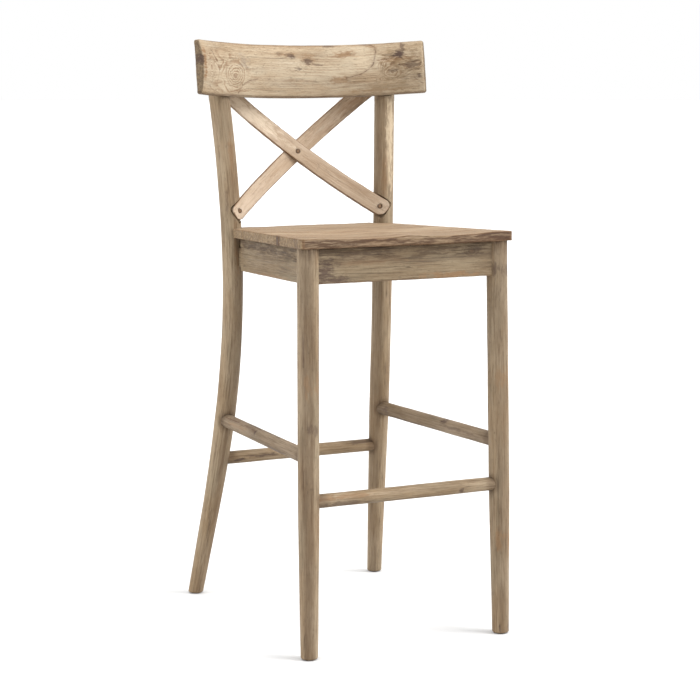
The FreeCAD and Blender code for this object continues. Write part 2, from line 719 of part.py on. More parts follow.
def scoops():
    """Two very large cylinders that hollow the seat a little where the sitter's legs lie."""
    tools = []
    deep, rear_deep = size("scoop_depth"), size("scoop_rear_depth")
    radius, top = size("scoop_radius"), size("seat_thickness")
    fall = math.degrees(math.atan2(deep - rear_deep, size("seat_depth")))
    for side_name, side in SIDES.items():
        start = Vector(side * size("scoop_spacing") / 2, 0, top - deep + radius)
        turn = Rotation(Vector(1, 0, 0), -90 + fall)
        place = seat_frame() * Placement(start, turn) * Placement(Vector(0, 0, -CLEAR), Rotation())
        item = add("Part::Cylinder", f"{side_name}_scoop", place, Radius="Sizes.scoop_radius")
        item.Height = size("seat_depth") + 2 * CLEAR
        tools.append(item)
    return tools


def make_seat(seat_bores):
    """Four boards, edge to edge, with the scoops, the post notches and the screw holes."""
    blank = seat_blank()
    panel = cut("seat_panel", blank, [*scoops(), *post_notches()])
    widths = [size("front_board"), size("second_board"), size("third_board")]
    widths.append(size("seat_depth") - sum(widths))
    names = ["seat_board_front", "seat_board_second", "seat_board_third", "seat_board_rear"]
    line = 0.0
    for name, width in zip(names, widths):
        front = line - (CLEAR if name == names[0] else 0)
        rear = line + width + (CLEAR if name == names[-1] else -size("glue_gap"))
        place = seat_frame() * Placement(Vector(-REACH / 2, front, -REACH / 2), Rotation())
        strip = add("Part::Box", f"{name}_strip", place)
        strip.Length, strip.Width, strip.Height = REACH, rear - front, REACH
        bores = [bore for row, bore in seat_bores if name.endswith(row)]
        keep(name, cut(name, overlap(f"{name}_plank", panel, strip), bores))
        line += width


# --- crest rail and back slats -------------------------------------------------------------------

def ring_sector(name, frame, centre, inner, outer, low, high, half_angle, heading):
    """Part of a ring about an upright axis of the frame: heading is the middle's direction, in degrees."""
    disks = []
    for part, radius in (("outer", outer), ("inner", inner)):
        place = frame * Placement(Vector(centre.x, centre.y, low), Rotation(UP, heading - half_angle))
        disk = add("Part::Cylinder", f"{name}_{part}", place, Radius=radius)
        disk.Height, disk.Angle = high - low, 2 * half_angle
        disks.append(disk)
    return cut(f"{name}_ring", disks[0], disks[1:])


def make_rail(bores):
    """The crest rail: a sector of a leaning ring, crowned on its front, with all its edges rounded."""
    centre = Vector(0, -size("rail_radius"), 0)
    inner = "Sizes.rail_radius - Sizes.rail_thickness / 2"
    outer = "Sizes.rail_radius + Sizes.rail_thickness / 2"
    ring = ring_sector("crest_rail", rail_frame(), centre, inner, outer,
                       0, size("rail_height"), size("rail_half_angle"), 90)
    middle = Placement(Vector(0, centre.y, size("rail_height") / 2), Rotation())
    crown = add("Part::Torus", "crest_rail_crown", rail_frame() * middle, Radius2="Sizes.rail_crown_radius",
                Radius1=f"{inner} + Sizes.rail_crown_radius")
    crowned = overlap("crest_rail_crowned", ring, crown)
    rounded = round_edges("crest_rail_round", crowned, size("rail_edge"), lambda edge: True)
    keep("crest_rail", cut("crest_rail", rounded, bores))


def rail_housing():
    """What the crest rail takes out of the posts' fronts."""
    centre = Vector(0, -size("rail_radius"), 0)
    wide = size("rail_half_angle") + HOUSING_ANGLE
    return ring_sector("rail_housing", rail_frame(), centre,
                       "Sizes.rail_radius - Sizes.rail_thickness",
                       "Sizes.rail_radius + Sizes.rail_thickness / 2 + Sizes.glue_gap",
                       -HOUSING_UNDER, size("rail_height") + BEYOND, wide, 90)


def slat_arc(side, rise):
    """A slat's centre of curvature and radius, in the leaning frame: side is that of its lower end."""
    low = Vector(side * size("slat_low_x"), size("slat_low_y"), 0)
    high = Vector(-side * size("slat_high_x"), size("slat_high_y"), 0)
    chord = high - low
    radius = (chord.Length ** 2 / 4 + rise ** 2) / (2 * rise)
    backward = Vector(chord.y, -chord.x, 0).normalize()
    if backward.y < 0:
        backward = backward * -1
    centre = (low + high) * 0.5 + backward * (rise - radius)
    return centre, radius


def slat_band(name, side, margin, trim):
    """The slanted band that a slat shows from the front, as a long box through the back."""
    slope = math.radians(size("slat_slope"))
    start = size("slat_low_end") / math.cos(slope) + margin
    end = size("slat_high_end") / math.cos(slope) + margin
    tilt = Rotation(Vector(0, 1, 0), side * size("slat_slope"))
    wide = size("slat_width") + 2 * margin
    left = -end if side > 0 else -start
    shift = Placement(Vector(left, -REACH / 3, -wide / 2), Rotation())
    place = back_frame() * Placement(Vector(), tilt) * shift
    item = add("Part::Box", name, place, Height=f"Sizes.slat_width + {2 * margin}")
    item.Length, item.Width = start + end, 2 * REACH / 3
    if not trim:
        return item
    return round_edges(f"{name}_round", item, size("slat_corner"), lambda edge: edge.Length > REACH / 2)


def slat_point(side, rise, across, depth):
    """A slat's point at a distance across from the crossing, depth behind its centre line, and its normal."""
    centre, radius = slat_arc(side, rise)
    back = centre.y + math.sqrt(radius ** 2 - (across - centre.x) ** 2)
    up = -side * across * math.tan(math.radians(size("slat_slope")))
    normal = Vector(across - centre.x, back - centre.y, 0).normalize()
    frame = back_frame()
    return frame.multVec(Vector(across, back, up) + normal * depth), frame.Rotation.multVec(normal)


def slat_shell(name, side, rise, front, rear, margin, trim):
    """A slat's solid: a thin leaning ring cut to the slanted band, from the front to the rear depth."""
    centre, radius = slat_arc(side, rise)
    ring = ring_sector(name, back_frame(), centre, str(radius + front), str(radius + rear),
                       -SLAT_RING_HALF, SLAT_RING_HALF, SLAT_RING_ANGLE, 90)
    return overlap(f"{name}_strip", ring, slat_band(f"{name}_band", side, margin, trim))


def make_back():
    """Slats, their screws and plugs, and what they and the rail need cut out of the posts."""
    half = size("slat_thickness") / 2
    rises = {"front": size("front_slat_rise"), "rear": size("front_slat_rise") + size("slat_thickness")}
    sides = {"front": 1, "rear": -1}
    slat_seats = {"left": [], "right": []}
    fixings = {"left": [], "right": []}
    end_screws, rail_screws, plugs, rail_bores = [], [], [], []
    gap = size("glue_gap")

    solids = {which: slat_shell(f"{which}_slat", sides[which], rise, -half, half, 0, True)
              for which, rise in rises.items()}
    housing = slat_shell("crossing_housing", sides["front"], rises["front"],
                         -half - CROSSING_CLEAR, half + gap, gap, False)
    bores = {"front": [], "rear": [housing]}

    for which, rise in rises.items():
        side = sides[which]
        low_side = "right" if side > 0 else "left"
        high_side = "left" if side > 0 else "right"
        margin = size("facet_margin")
        ahead, behind = -half - SLAT_SEAT_CLEAR, half + SLAT_SEAT_CLEAR
        front_seat = slat_shell(f"{which}_slat_low_seat", side, rise, ahead, half + gap, margin, False)
        rear_seat = slat_shell(f"{which}_slat_high_seat", side, rise, -half - gap, behind, margin, False)
        slat_seats[low_side].append(half_space(f"{which}_low_half", front_seat, side))
        slat_seats[high_side].append(half_space(f"{which}_high_half", rear_seat, -side))

        surface, normal = slat_point(side, rise, side * size("slat_low_fixing"), -half)
        screw, bore = screw_pair(f"{which}_slat_low_screw", surface, normal,
                                 "Sizes.slat_end_screw_length", True)
        end_screws.append(screw)
        plugs.append(plug(f"{which}_slat_low_plug", surface, normal))
        bores[which].append(bore)
        fixings[low_side].append(bore)

        surface, normal = slat_point(side, rise, -side * size("slat_high_fixing"), half)
        inward = normal * -1
        screw, bore = screw_pair(f"{which}_slat_high_screw", surface, inward,
                                 "Sizes.rail_screw_length", True)
        rail_screws.append(screw)
        plugs.append(plug(f"{which}_slat_high_plug", surface, inward))
        bores[which].append(bore)
        fixings[high_side].append(bore)
        rail_bores.append(bore)

        height = size("rail_mid_z") + size("upper_rail_screw_height")
        point = post_point(-side, height)
        inward = rail_inward(point)
        surface = point - inward * (size("post_diameter") / 2 - size("upper_rail_screw_sink"))
        screw, bore = screw_pair(f"{high_side}_rail_screw", surface, inward,
                                 "Sizes.rail_screw_length", True)
        rail_screws.append(screw)
        plugs.append(plug(f"{high_side}_rail_plug", surface, inward))
        fixings[high_side].append(bore)
        rail_bores.append(bore)

    surface, normal = slat_point(sides["front"], rises["front"], 0, -half)
    screw, bore = screw_pair("slat_crossing", surface, normal, "Sizes.slat_cross_screw_length", True)
    plugs.append(plug("slat_crossing_plug", surface, normal))
    bores["front"].append(bore)
    bores["rear"].append(bore)

    for which, solid in solids.items():
        keep(f"back_slat_{which}", cut(f"back_slat_{which}", solid, bores[which]))
    keep("slat_end_screws", group("slat_end_screw_set", end_screws))
    keep("slat_crossing_screw", screw)
    keep("crest_rail_screws", group("crest_rail_screw_set", rail_screws))
    keep("screw_plugs", group("screw_plug_set", plugs))
    return slat_seats, fixings, rail_bores


def half_space(name, shape, side):
    """The part of a shape on one side of the centre plane."""
    left = 0 if side > 0 else -REACH
    box = add("Part::Box", f"{name}_box", Placement(Vector(left, -REACH, 0), Rotation()))
    box.Length, box.Width, box.Height = REACH, 2 * REACH, 2 * REACH
    return overlap(name, shape, box)


def rail_inward(point):
    """From a post towards the crest rail's axis, square to the rail's face."""
    local = rail_frame().inverse().multVec(point)
    aim = Vector(-local.x, -size("rail_radius") - local.y, 0).normalize()
    return rail_frame().Rotation.multVec(aim)


# --- assembly ------------------------------------------------------------------------------------

def check(item):
    """Stop if an object failed."""
    if "Invalid" in item.State or "Error" in item.State:
        raise RuntimeError(f"{item.Name} failed: {item.State}")


def build():
    bores = make_stretchers()
    wholes, boards, mortises = make_aprons()
    leg_screws, seat_bores = make_blocks(boards)
    drill_aprons(wholes, leg_screws)
    make_seat(seat_bores)
    slat_seats, fixings, rail_bores = make_back()
    make_rail(rail_bores)
    housing = rail_housing()
    for side_name in SIDES:
        make_leg(side_name, bores, mortises, leg_screws)
        make_post(side_name, bores, mortises, leg_screws, housing, slat_seats, fixings)
    make_glides()
    doc.recompute()


def export():
    """Check everything, then write each piece to its own file."""
    os.makedirs("parts", exist_ok=True)
    for item in doc.Objects:
        check(item)
    for label, item in pieces.items():
        shape = item.Shape
        if shape.isNull() or not shape.isValid() or shape.Volume <= 0:
            raise RuntimeError(f"{label} has no valid solid")
        print(f"{label:28s} solids {len(shape.Solids):2d}  volume {shape.Volume / 1000:8.1f} cm3")
        shape.exportStep(f"parts/{label}.step")


build()
export()
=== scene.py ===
import math

import bmesh
import bpy
from mathutils import Matrix, Vector, noise


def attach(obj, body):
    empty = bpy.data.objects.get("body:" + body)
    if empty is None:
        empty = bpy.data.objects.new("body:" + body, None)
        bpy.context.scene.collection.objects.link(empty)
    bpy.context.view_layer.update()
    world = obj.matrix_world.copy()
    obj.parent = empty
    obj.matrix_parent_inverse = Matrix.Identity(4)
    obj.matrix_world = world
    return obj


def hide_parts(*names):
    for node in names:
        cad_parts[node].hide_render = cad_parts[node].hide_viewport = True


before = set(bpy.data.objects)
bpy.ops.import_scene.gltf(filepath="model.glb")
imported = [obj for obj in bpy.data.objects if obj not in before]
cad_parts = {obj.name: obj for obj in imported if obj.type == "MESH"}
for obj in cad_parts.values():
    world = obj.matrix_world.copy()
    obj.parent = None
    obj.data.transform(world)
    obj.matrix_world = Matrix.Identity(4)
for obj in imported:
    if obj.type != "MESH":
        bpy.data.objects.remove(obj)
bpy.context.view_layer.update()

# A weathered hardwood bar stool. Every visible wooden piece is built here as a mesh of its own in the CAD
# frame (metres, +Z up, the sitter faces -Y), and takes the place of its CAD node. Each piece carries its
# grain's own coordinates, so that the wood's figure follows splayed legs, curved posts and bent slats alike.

# --- driving dimensions, in metres and degrees, as the CAD model has them ---

LEG_FOOT, LEG_TOP = Vector((0.2003, -0.2668, 0.0)), Vector((0.1930, -0.2495, 0.762))
LEG_RADIUS, LEG_FOOT_RADIUS, LEG_TAPER = 0.0195, 0.01575, 0.270
POST_X = (0.2046, 0.1790, 0.1649, 0.1695, 0.1868)
POST_Y = (0.2682, 0.2032, 0.1612, 0.1616, 0.1910)
POST_STEP, POST_TOP = 0.275, 1.098
POST_RADIUS, POST_FOOT_RADIUS, POST_TAPER = 0.0200, 0.0150, 0.370
FEET_UP, FOOT_ROUND = 0.0012, 0.0030

SIDE_STRETCHER, CROSS_STRETCHER = 0.0135, 0.01275
SIDE_HEIGHT, FRONT_HEIGHT, REAR_HEIGHT = 0.368, 0.288, 0.287

SEAT_THICK, SEAT_TOP, SEAT_FRONT, SEAT_TILT = 0.018, 0.762, -0.272, 1.6
SEAT_WIDE, SEAT_NARROW, SEAT_DEEP, SEAT_CORNER = 0.433, 0.334, 0.451, 0.0065
BOARDS = {"seat_board_front": 0.126, "seat_board_second": 0.110, "seat_board_third": 0.108,
          "seat_board_rear": 0.107}
SCOOP_RADIUS, SCOOP_X, SCOOP_FRONT, SCOOP_REAR = 1.100, 0.086, 0.0035, 0.0006
NOTCH_RADIUS = POST_RADIUS + 0.0015

APRON_HIGH, APRON_THICK, APRON_PROUD = 0.064, 0.020, 0.010
SIDE_APRON_FRONT, SIDE_APRON_REAR, SIDE_APRON_GAP = 0.1994, 0.1583, 0.012
TENON_HIGH, TENON_THICK, TENON_DEEP, TENON_DROP, TENON_INSET = 0.036, 0.010, 0.013, 0.020, 0.001

BACK_LEAN = 8.3
RAIL_MIDDLE, RAIL_RADIUS = Vector((0.0, 0.1893, 1.0009)), 0.445
RAIL_THICK, RAIL_HIGH, RAIL_HALF_ANGLE, RAIL_EDGE, RAIL_CROWN = 0.022, 0.104, 33.1, 0.005, 0.009
UPPER_RAIL_SCREW = 0.078

SLAT_CROSSING, SLAT_SLOPE = Vector((0.0, 0.2143, 0.8938)), 37.7
SLAT_WIDE, SLAT_THICK, SLAT_CORNER = 0.034, 0.0085, 0.016
SLAT_LOW, SLAT_HIGH = (0.1656, -0.0550), (0.1752, -0.0260)
SLAT_RISE = {"front": 0.0360, "rear": 0.0445}
SLAT_SIDE = {"front": 1, "rear": -1}
SLAT_LOW_END, SLAT_HIGH_END, SLAT_LOW_FIXING, SLAT_HIGH_FIXING = 0.166, 0.190, 0.153, 0.178
PLUG_RADIUS, PLUG_LONG = 0.0048, 0.0026

# --- sizes and settings of this script's own ---

FACET_MARGIN = 0.0015    # how much wider than a slat its seat in a post is
COLLAR_GAP, COLLAR_DEEP = 0.0006, 0.004    # the gap round a stretcher where it enters a leg
RECESS_DEEP, RECESS_GAP = 0.0011, 0.0004    # the recess round a wooden plug
BEYOND = 0.060    # how far cutting tools run past the wood
SHARP = 0.0002    # corners and ends of the cutting tools

STEP, ROUND_SIDES = 0.005, 44    # between a piece's stations, and round a leg
EDGE_STEPS = 5    # points in a quarter of a rounded corner
CAP_SHARES = (0.85, 0.62, 0.38, 0.16)    # how large the rings are that close an end face
EDGE_BAND = 0.0045    # how far in from a corner the wood is worn
SHARP_ANGLE = 42    # degrees between faces, over which an edge is shaded sharp
WEAR = {    # how uneven a surface is, and how deep its worn edges are chipped
    "leg": (0.00035, 0.0010), "stretcher": (0.00040, 0.0), "seat": (0.00022, 0.0012),
    "apron": (0.00022, 0.0010), "rail": (0.00055, 0.0022), "slat": (0.00022, 0.0008),
    "plug": (0.00008, 0.0003),
}
SEEDS = {"leg": 1, "post": 3, "stretcher": 5, "apron": 11, "seat": 21, "rail": 31, "slat": 33, "plug": 41}

SIDES = {"left": -1, "right": 1}
MM = 0.001
Y, Z = Vector((0, 1, 0)), Vector((0, 0, 1))


def leaning(origin, degrees):
    """A frame at origin that leans back by some degrees."""
    return Matrix.Translation(origin) @ Matrix.Rotation(math.radians(-degrees), 4, "X")


SEAT = leaning(Vector((0, SEAT_FRONT, SEAT_TOP - SEAT_THICK)), SEAT_TILT)
BACK = leaning(SLAT_CROSSING, BACK_LEAN)
RAIL = leaning(RAIL_MIDDLE, BACK_LEAN)


def turned(matrix, direction):
    return (matrix.to_3x3() @ direction).normalized()


def smooth(value, low, high):
    """0 below low, 1 above high, and a soft step between. low may be the larger."""
    t = min(max((value - low) / (high - low), 0.0), 1.0)
    return t * t * (3 - 2 * t)


# --- lines: each turns (along, across, depth) into a place, and a place back into them ---

class Straight:
    """A straight piece. along starts at start, across and depth are square to it."""

    def __init__(self, start, end, across, half_across, half_depth):
        self.start, self.length = start, (end - start).length
        self.along = (end - start).normalized()
        self.depth = self.along.cross(across).normalized()
        self.across = self.depth.cross(self.along)
        self.half = (half_across, half_depth)

    def world(self, s, a, d):
        return self.start + self.along * s + self.across * a + self.depth * d

    def grain(self, p):
        q = p - self.start
        return Vector((q.dot(self.along), q.dot(self.across), q.dot(self.depth)))

    def room(self, g):
        """How far a point lies under the ends, the sides and the faces."""
        return (min(g.x, self.length - g.x), self.half[0] - abs(g.y), self.half[1] - abs(g.z))


class Turned(Straight):
    """A straight round piece: radius(along) is its radius."""

    def __init__(self, start, end, radius):
        level = abs((end - start).normalized().z) < 0.7
        super().__init__(start, end, Z if level else Y, 0, 0)
        self.radius = radius

    def room(self, g):
        return (min(g.x, self.length - g.x), self.radius(g.x) - math.hypot(g.y, g.z))


class Post:
    """A rear post. along is the height: sections are level, and the centre line bends through stations."""

    def __init__(self, side):
        self.side, self.length = side, POST_TOP

    def radius(self, height):
        share = min(height / POST_TAPER, 1.0)
        return POST_FOOT_RADIUS + (POST_RADIUS - POST_FOOT_RADIUS) * share

    def centre(self, height):
        """The quartic through the five stations."""
        step, x, y = height / POST_STEP, 0.0, 0.0
        for here in range(len(POST_X)):
            weight = 1.0
            for other in range(len(POST_X)):
                if other != here:
                    weight *= (step - other) / (here - other)
            x += weight * POST_X[here]
            y += weight * POST_Y[here]
        return Vector((self.side * x, y, height))

    def tangent(self, height):
        return (self.centre(height + MM) - self.centre(height - MM)).normalized()

    def stretch(self, height):
        """How much longer a level section is than a square one, in x and in y."""
        along = self.tangent(height)
        return math.hypot(1, along.x / along.z), math.hypot(1, along.y / along.z)

    def world(self, s, a, d):
        in_x, in_y = self.stretch(s)
        return self.centre(s) + Vector((a * in_x, d * in_y, 0))

    def grain(self, p):
        in_x, in_y = self.stretch(p.z)
        middle = self.centre(p.z)
        return Vector((p.z, (p.x - middle.x) / in_x, (p.y - middle.y) / in_y))

    room = Turned.room


class BentRail:
    """The crest rail. along runs round its arc from the middle, across is the height over its lower edge.

    Its front face is crowned: it draws back towards the upper and lower edges.
    """

    def __init__(self, half_across=RAIL_HIGH / 2, half_depth=RAIL_THICK / 2):
        self.half = (half_across, half_depth)
        self.reach = RAIL_RADIUS * math.radians(RAIL_HALF_ANGLE)

    def drawn_back(self, a):
        """How far the crown draws the front face back at a height over the lower edge."""
        return RAIL_CROWN * min(abs(2 * a / RAIL_HIGH - 1), 1.0) ** 2

    def world(self, s, a, d):
        share = min((RAIL_THICK / 2 - d) / RAIL_THICK, 1.0)
        turn, radius = s / RAIL_RADIUS, RAIL_RADIUS + d + self.drawn_back(a) * share
        return RAIL @ Vector((radius * math.sin(turn), radius * math.cos(turn) - RAIL_RADIUS, a))

    def grain(self, p):
        q = RAIL.inverted() @ p
        out = q.y + RAIL_RADIUS
        behind = RAIL_THICK / 2 + RAIL_RADIUS - math.hypot(q.x, out)
        depth = RAIL_THICK / 2 - behind / (1 - self.drawn_back(q.z) / RAIL_THICK)
        return Vector((RAIL_RADIUS * math.atan2(q.x, out), q.z, depth))

    def room(self, g):
        return (self.reach - abs(g.x), self.half[0] - abs(g.y - RAIL_HIGH / 2), self.half[1] - abs(g.z))


class BentSlat:
    """A back slat. along climbs from its lower end past the crossing, where it is 0."""

    def __init__(self, which):
        side, rise = SLAT_SIDE[which], SLAT_RISE[which]
        low = Vector((side * SLAT_LOW[0], SLAT_LOW[1]))
        high = Vector((-side * SLAT_HIGH[0], SLAT_HIGH[1]))
        chord = high - low
        self.radius = (chord.length ** 2 / 4 + rise ** 2) / (2 * rise)
        backward = Vector((chord.y, -chord.x)).normalized()
        if backward.y < 0:
            backward.negate()
        self.middle = (low + high) / 2 + backward * (rise - self.radius)
        self.side = side
        self.cos, self.sin = math.cos(math.radians(SLAT_SLOPE)), math.sin(math.radians(SLAT_SLOPE))
        self.low, self.high = -SLAT_LOW_END / self.cos, SLAT_HIGH_END / self.cos

    def world(self, s, a, d):
        x = self.side * (self.sin * a - self.cos * s)
        z = self.sin * s + self.cos * a
        y = self.middle.y + math.sqrt((self.radius + d) ** 2 - (x - self.middle.x) ** 2)
        return BACK @ Vector((x, y, z))

    def grain(self, p):
        q = BACK.inverted() @ p
        depth = math.hypot(q.x - self.middle.x, q.y - self.middle.y) - self.radius
        return Vector((self.sin * q.z - self.side * self.cos * q.x,
                       self.side * self.sin * q.x + self.cos * q.z, depth))

    def room(self, g):
        return (min(g.x - self.low, self.high - g.x), SLAT_WIDE / 2 - abs(g.y), SLAT_THICK / 2 - abs(g.z))

    def fixing(self, across, depth):
        """The point of the slat's face at a distance from the centre plane, and the way into the wood."""
        s = -self.side * across / self.cos
        surface = self.world(s, 0, depth)
        return surface, (self.world(s, 0, depth + MM) - surface).normalized()


class SeatBoard:
    """A seat board. along is x, across runs from the seat's front edge back, depth is from its middle up."""

    def __init__(self, front, rear):
        self.front, self.rear = front, rear

    def half_width(self, y):
        """Half of the seat's width, less the rounded front corners."""
        half = (SEAT_WIDE + (SEAT_NARROW - SEAT_WIDE) * y / SEAT_DEEP) / 2
        if y < SEAT_CORNER:
            reach = SEAT_CORNER - max(y, 0.0)
            half -= SEAT_CORNER - math.sqrt(max(SEAT_CORNER ** 2 - reach ** 2, 0.0))
        return half

    def scoop(self, x, y):
        """How far the top is hollowed: two shallow troughs that run out towards the rear."""
        depth = SCOOP_FRONT + (SCOOP_REAR - SCOOP_FRONT) * y / SEAT_DEEP
        off = abs(x) - SCOOP_X
        return max(depth - (SCOOP_RADIUS - math.sqrt(SCOOP_RADIUS ** 2 - off ** 2)), 0.0)

    def world(self, s, a, d):
        x = s * self.half_width(a) / (SEAT_WIDE / 2)
        z = (SEAT_THICK / 2 + d) * (1 - self.scoop(x, a) / SEAT_THICK)
        return SEAT @ Vector((x, a, z))

    def grain(self, p):
        q = SEAT.inverted() @ p
        return Vector((q.x, q.y, q.z / (1 - self.scoop(q.x, q.y) / SEAT_THICK) - SEAT_THICK / 2))

    def room(self, g):
        side = self.half_width(g.y) - abs(g.x)
        return (side, min(g.y - self.front, self.rear - g.y), SEAT_THICK / 2 - abs(g.z))


# --- outlines and skins ---

def linked(name, data):
    """A new object in the scene."""
    item = bpy.data.objects.new(name, data)
    bpy.context.scene.collection.objects.link(item)
    return item


def circle(radius, count):
    """An outline for a round piece: radius is a function of along."""
    def outline(s, inset):
        size = radius(s) - inset
        turns = [2 * math.pi * number / count for number in range(count)]
        return [(size * math.cos(turn), size * math.sin(turn)) for turn in turns]
    return outline


def oblong(half_a, half_d, corner, step, middle=(0.0, 0.0)):
    """An outline for a board: a rectangle with rounded corners and evenly spaced points on its flats."""
    steps_a = max(2, round(2 * (half_a - corner) / step))
    steps_d = max(2, round(2 * (half_d - corner) / step))

    def outline(s, inset):
        round_by = max(corner - inset, corner * 0.2)
        flat_a, flat_d = half_a - inset - round_by, half_d - inset - round_by
        arcs = []
        for number, (sign_a, sign_d) in enumerate(((1, 1), (-1, 1), (-1, -1), (1, -1))):
            turns = [math.radians(90 * (number + part / (EDGE_STEPS - 1))) for part in range(EDGE_STEPS)]
            arcs.append([(middle[0] + sign_a * flat_a + round_by * math.cos(turn),
                          middle[1] + sign_d * flat_d + round_by * math.sin(turn)) for turn in turns])
        points = []
        for number, arc in enumerate(arcs):
            (a, d), (next_a, next_d) = arc[-1], arcs[(number + 1) % 4][0]
            count = steps_a if number % 2 == 0 else steps_d
            points += arc
            points += [(a + (next_a - a) * part / count, d + (next_d - d) * part / count)
                       for part in range(1, count)]
        return points
    return outline


def stations(start, end, step, start_round, end_round):
    """Places along a piece, and how far its outline draws in there: a quarter circle at each rounded end."""
    places = []
    for number in range(EDGE_STEPS):
        turn = math.pi / 2 * number / EDGE_STEPS
        places.append((start + start_round * (1 - math.cos(turn)), start_round * (1 - math.sin(turn))))
    low, high = start + start_round, end - end_round
    count = max(2, round((high - low) / step))
    places += [(low + (high - low) * number / count, 0.0) for number in range(count + 1)]
    for number in range(1, EDGE_STEPS + 1):
        turn = math.pi / 2 * number / EDGE_STEPS
        places.append((high + end_round * math.sin(turn), end_round * (1 - math.cos(turn))))
    return places


def loft(name, line, outline, places, bulge=0.0):
    """A closed skin over a line, with each end drawn together to a point on its face."""
    rings = [[(s, a, d) for a, d in outline(s, inset)] for s, inset in places]

    def face_rings(ring, way):
        count = len(ring)
        s, a, d = (sum(point[axis] for point in ring) / count for axis in range(3))
        made = []
        for share in CAP_SHARES:
            out = s + way * bulge * (1 - share ** 2)
            made.append([(out, a + (p[1] - a) * share, d + (p[2] - d) * share) for p in ring])
        return made, (s + way * bulge, a, d)

    low_rings, low_point = face_rings(rings[0], -1)
    high_rings, high_point = face_rings(rings[-1], 1)
    rings = low_rings[::-1] + rings + high_rings
    count = len(rings[0])
    points = [low_point] + [point for ring in rings for point in ring] + [high_point]
    faces = []
    for number in range(count):
        after = (number + 1) % count
        faces.append((0, 1 + after, 1 + number))
        last = 1 + (len(rings) - 1) * count
        faces.append((len(points) - 1, last + number, last + after))
        for row in range(len(rings) - 1):
            here, above = 1 + row * count, 1 + (row + 1) * count
            faces.append((here + number, here + after, above + after, above + number))
    mesh = bpy.data.meshes.new(name)
    mesh.from_pydata([line.world(*point) for point in points], [], faces)
    shape = bmesh.new()
    shape.from_mesh(mesh)
    bmesh.ops.recalc_face_normals(shape, faces=shape.faces)
    shape.to_mesh(mesh)
    shape.free()
    return linked(name, mesh)


def combine(item, tools, operation):
    """Takes each tool away from a piece, or joins it on, and then removes the tool."""
    for tool in tools:
        modifier = item.modifiers.new("fit", "BOOLEAN")
        modifier.operation, modifier.object, modifier.solver = operation, tool, "EXACT"
        graph = bpy.context.evaluated_depsgraph_get()
        mesh = bpy.data.meshes.new_from_object(item.evaluated_get(graph), depsgraph=graph)
        item.modifiers.clear()
        item.data = mesh
        bpy.data.objects.remove(tool)
    return item


def age(item, line, seed, wobble, chips, dirt_and_shade=()):
    """Hand-made unevenness and worn edges, and the attributes that the wood's materials read.

    grain holds (along, across, depth). The other attribute holds (edge, end grain, grime and painted contact
    shade):
    the last gathers round the given (point, radius) places, where other pieces meet this one.
    """
    mesh = item.data
    shift = Vector((seed * 3.7, seed * 1.3, seed * 2.1))
    grains, wear_and_shade_values, moved = [], [], []
    for vertex in mesh.vertices:
        point = vertex.co
        g = line.grain(point)
        room = line.room(g)
        edge = 1 - smooth(sorted(room)[1], 0.0, EDGE_BAND)
        end = 1 - smooth(room[0], 0.0004, 0.0022)
        # Painted contact shade, with grime, near the places where other pieces meet this one.
        soil_and_shade = (1 - smooth((point - place).length, reach * 0.55, reach) for place, reach in dirt_and_shade)
        broad = noise.noise(Vector((g.x * 14, g.y * 40, g.z * 40)) + shift)
        small = noise.noise(Vector((g.x * 60, g.y * 170, g.z * 170)) + shift)
        chip = max(noise.noise(g * 95 + shift) + 0.12, 0.0) * edge * edge
        moved.append(point + vertex.normal * (wobble * (broad + 0.35 * small) - chips * chip))
        grains.extend(g)
        wear_and_shade_values.extend((edge, end, max(soil_and_shade, default=0.0)))
    for vertex, place in zip(mesh.vertices, moved):
        vertex.co = place
    for label, values in (("grain", grains), ("wear_and_shade", wear_and_shade_values)):
        mesh.attributes.new(label, "FLOAT_VECTOR", "POINT").data.foreach_set("vector", values)
    mesh.polygons.foreach_set("use_smooth", [True] * len(mesh.polygons))
    mesh.set_sharp_from_angle(angle=math.radians(SHARP_ANGLE))
    mesh.update()


def finished(item, line, seed, kind, cuts=(), dirt_and_shade=()):
    """A lofted piece, cut and aged."""
    combine(item, cuts, "DIFFERENCE")
    age(item, line, seed, *WEAR[kind], dirt_and_shade)
    return item


def show(item, node, material):
    """Puts a piece in its CAD node's place."""
    item.name = f"{node}_wood"
    item.data.materials.clear()
    item.data.materials.append(material)
    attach(item, "root")
    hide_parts(node)


# --- places where pieces meet ---

def leg_point(side, height):
    """The front leg's axis at a height."""
    point = LEG_FOOT.lerp(LEG_TOP, height / LEG_TOP.z)
    return Vector((side * point.x, point.y, height))


POSTS = {name: Post(side) for name, side in SIDES.items()}
APRON_LEVEL = SEAT_TOP - SEAT_THICK - APRON_HIGH / 2
IN_SEAT = SEAT.inverted()


def stretcher_ends():
    """Each stretcher's two axis points and its radius."""
    left, right = POSTS["left"], POSTS["right"]
    return {
        "front_footrest_stretcher": (leg_point(-1, FRONT_HEIGHT), leg_point(1, FRONT_HEIGHT),
                                     CROSS_STRETCHER),
        "rear_stretcher": (left.centre(REAR_HEIGHT), right.centre(REAR_HEIGHT), CROSS_STRETCHER),
        "left_stretcher": (leg_point(-1, SIDE_HEIGHT), left.centre(SIDE_HEIGHT), SIDE_STRETCHER),
        "right_stretcher": (leg_point(1, SIDE_HEIGHT), right.centre(SIDE_HEIGHT), SIDE_STRETCHER),
    }


def rod(name, start, end, radius, count=40):
    """A plain round bar, used to cut with."""
    line = Turned(start, end, lambda s: radius)
    return loft(name, line, circle(line.radius, count), stations(0, line.length, 0.02, SHARP, SHARP))


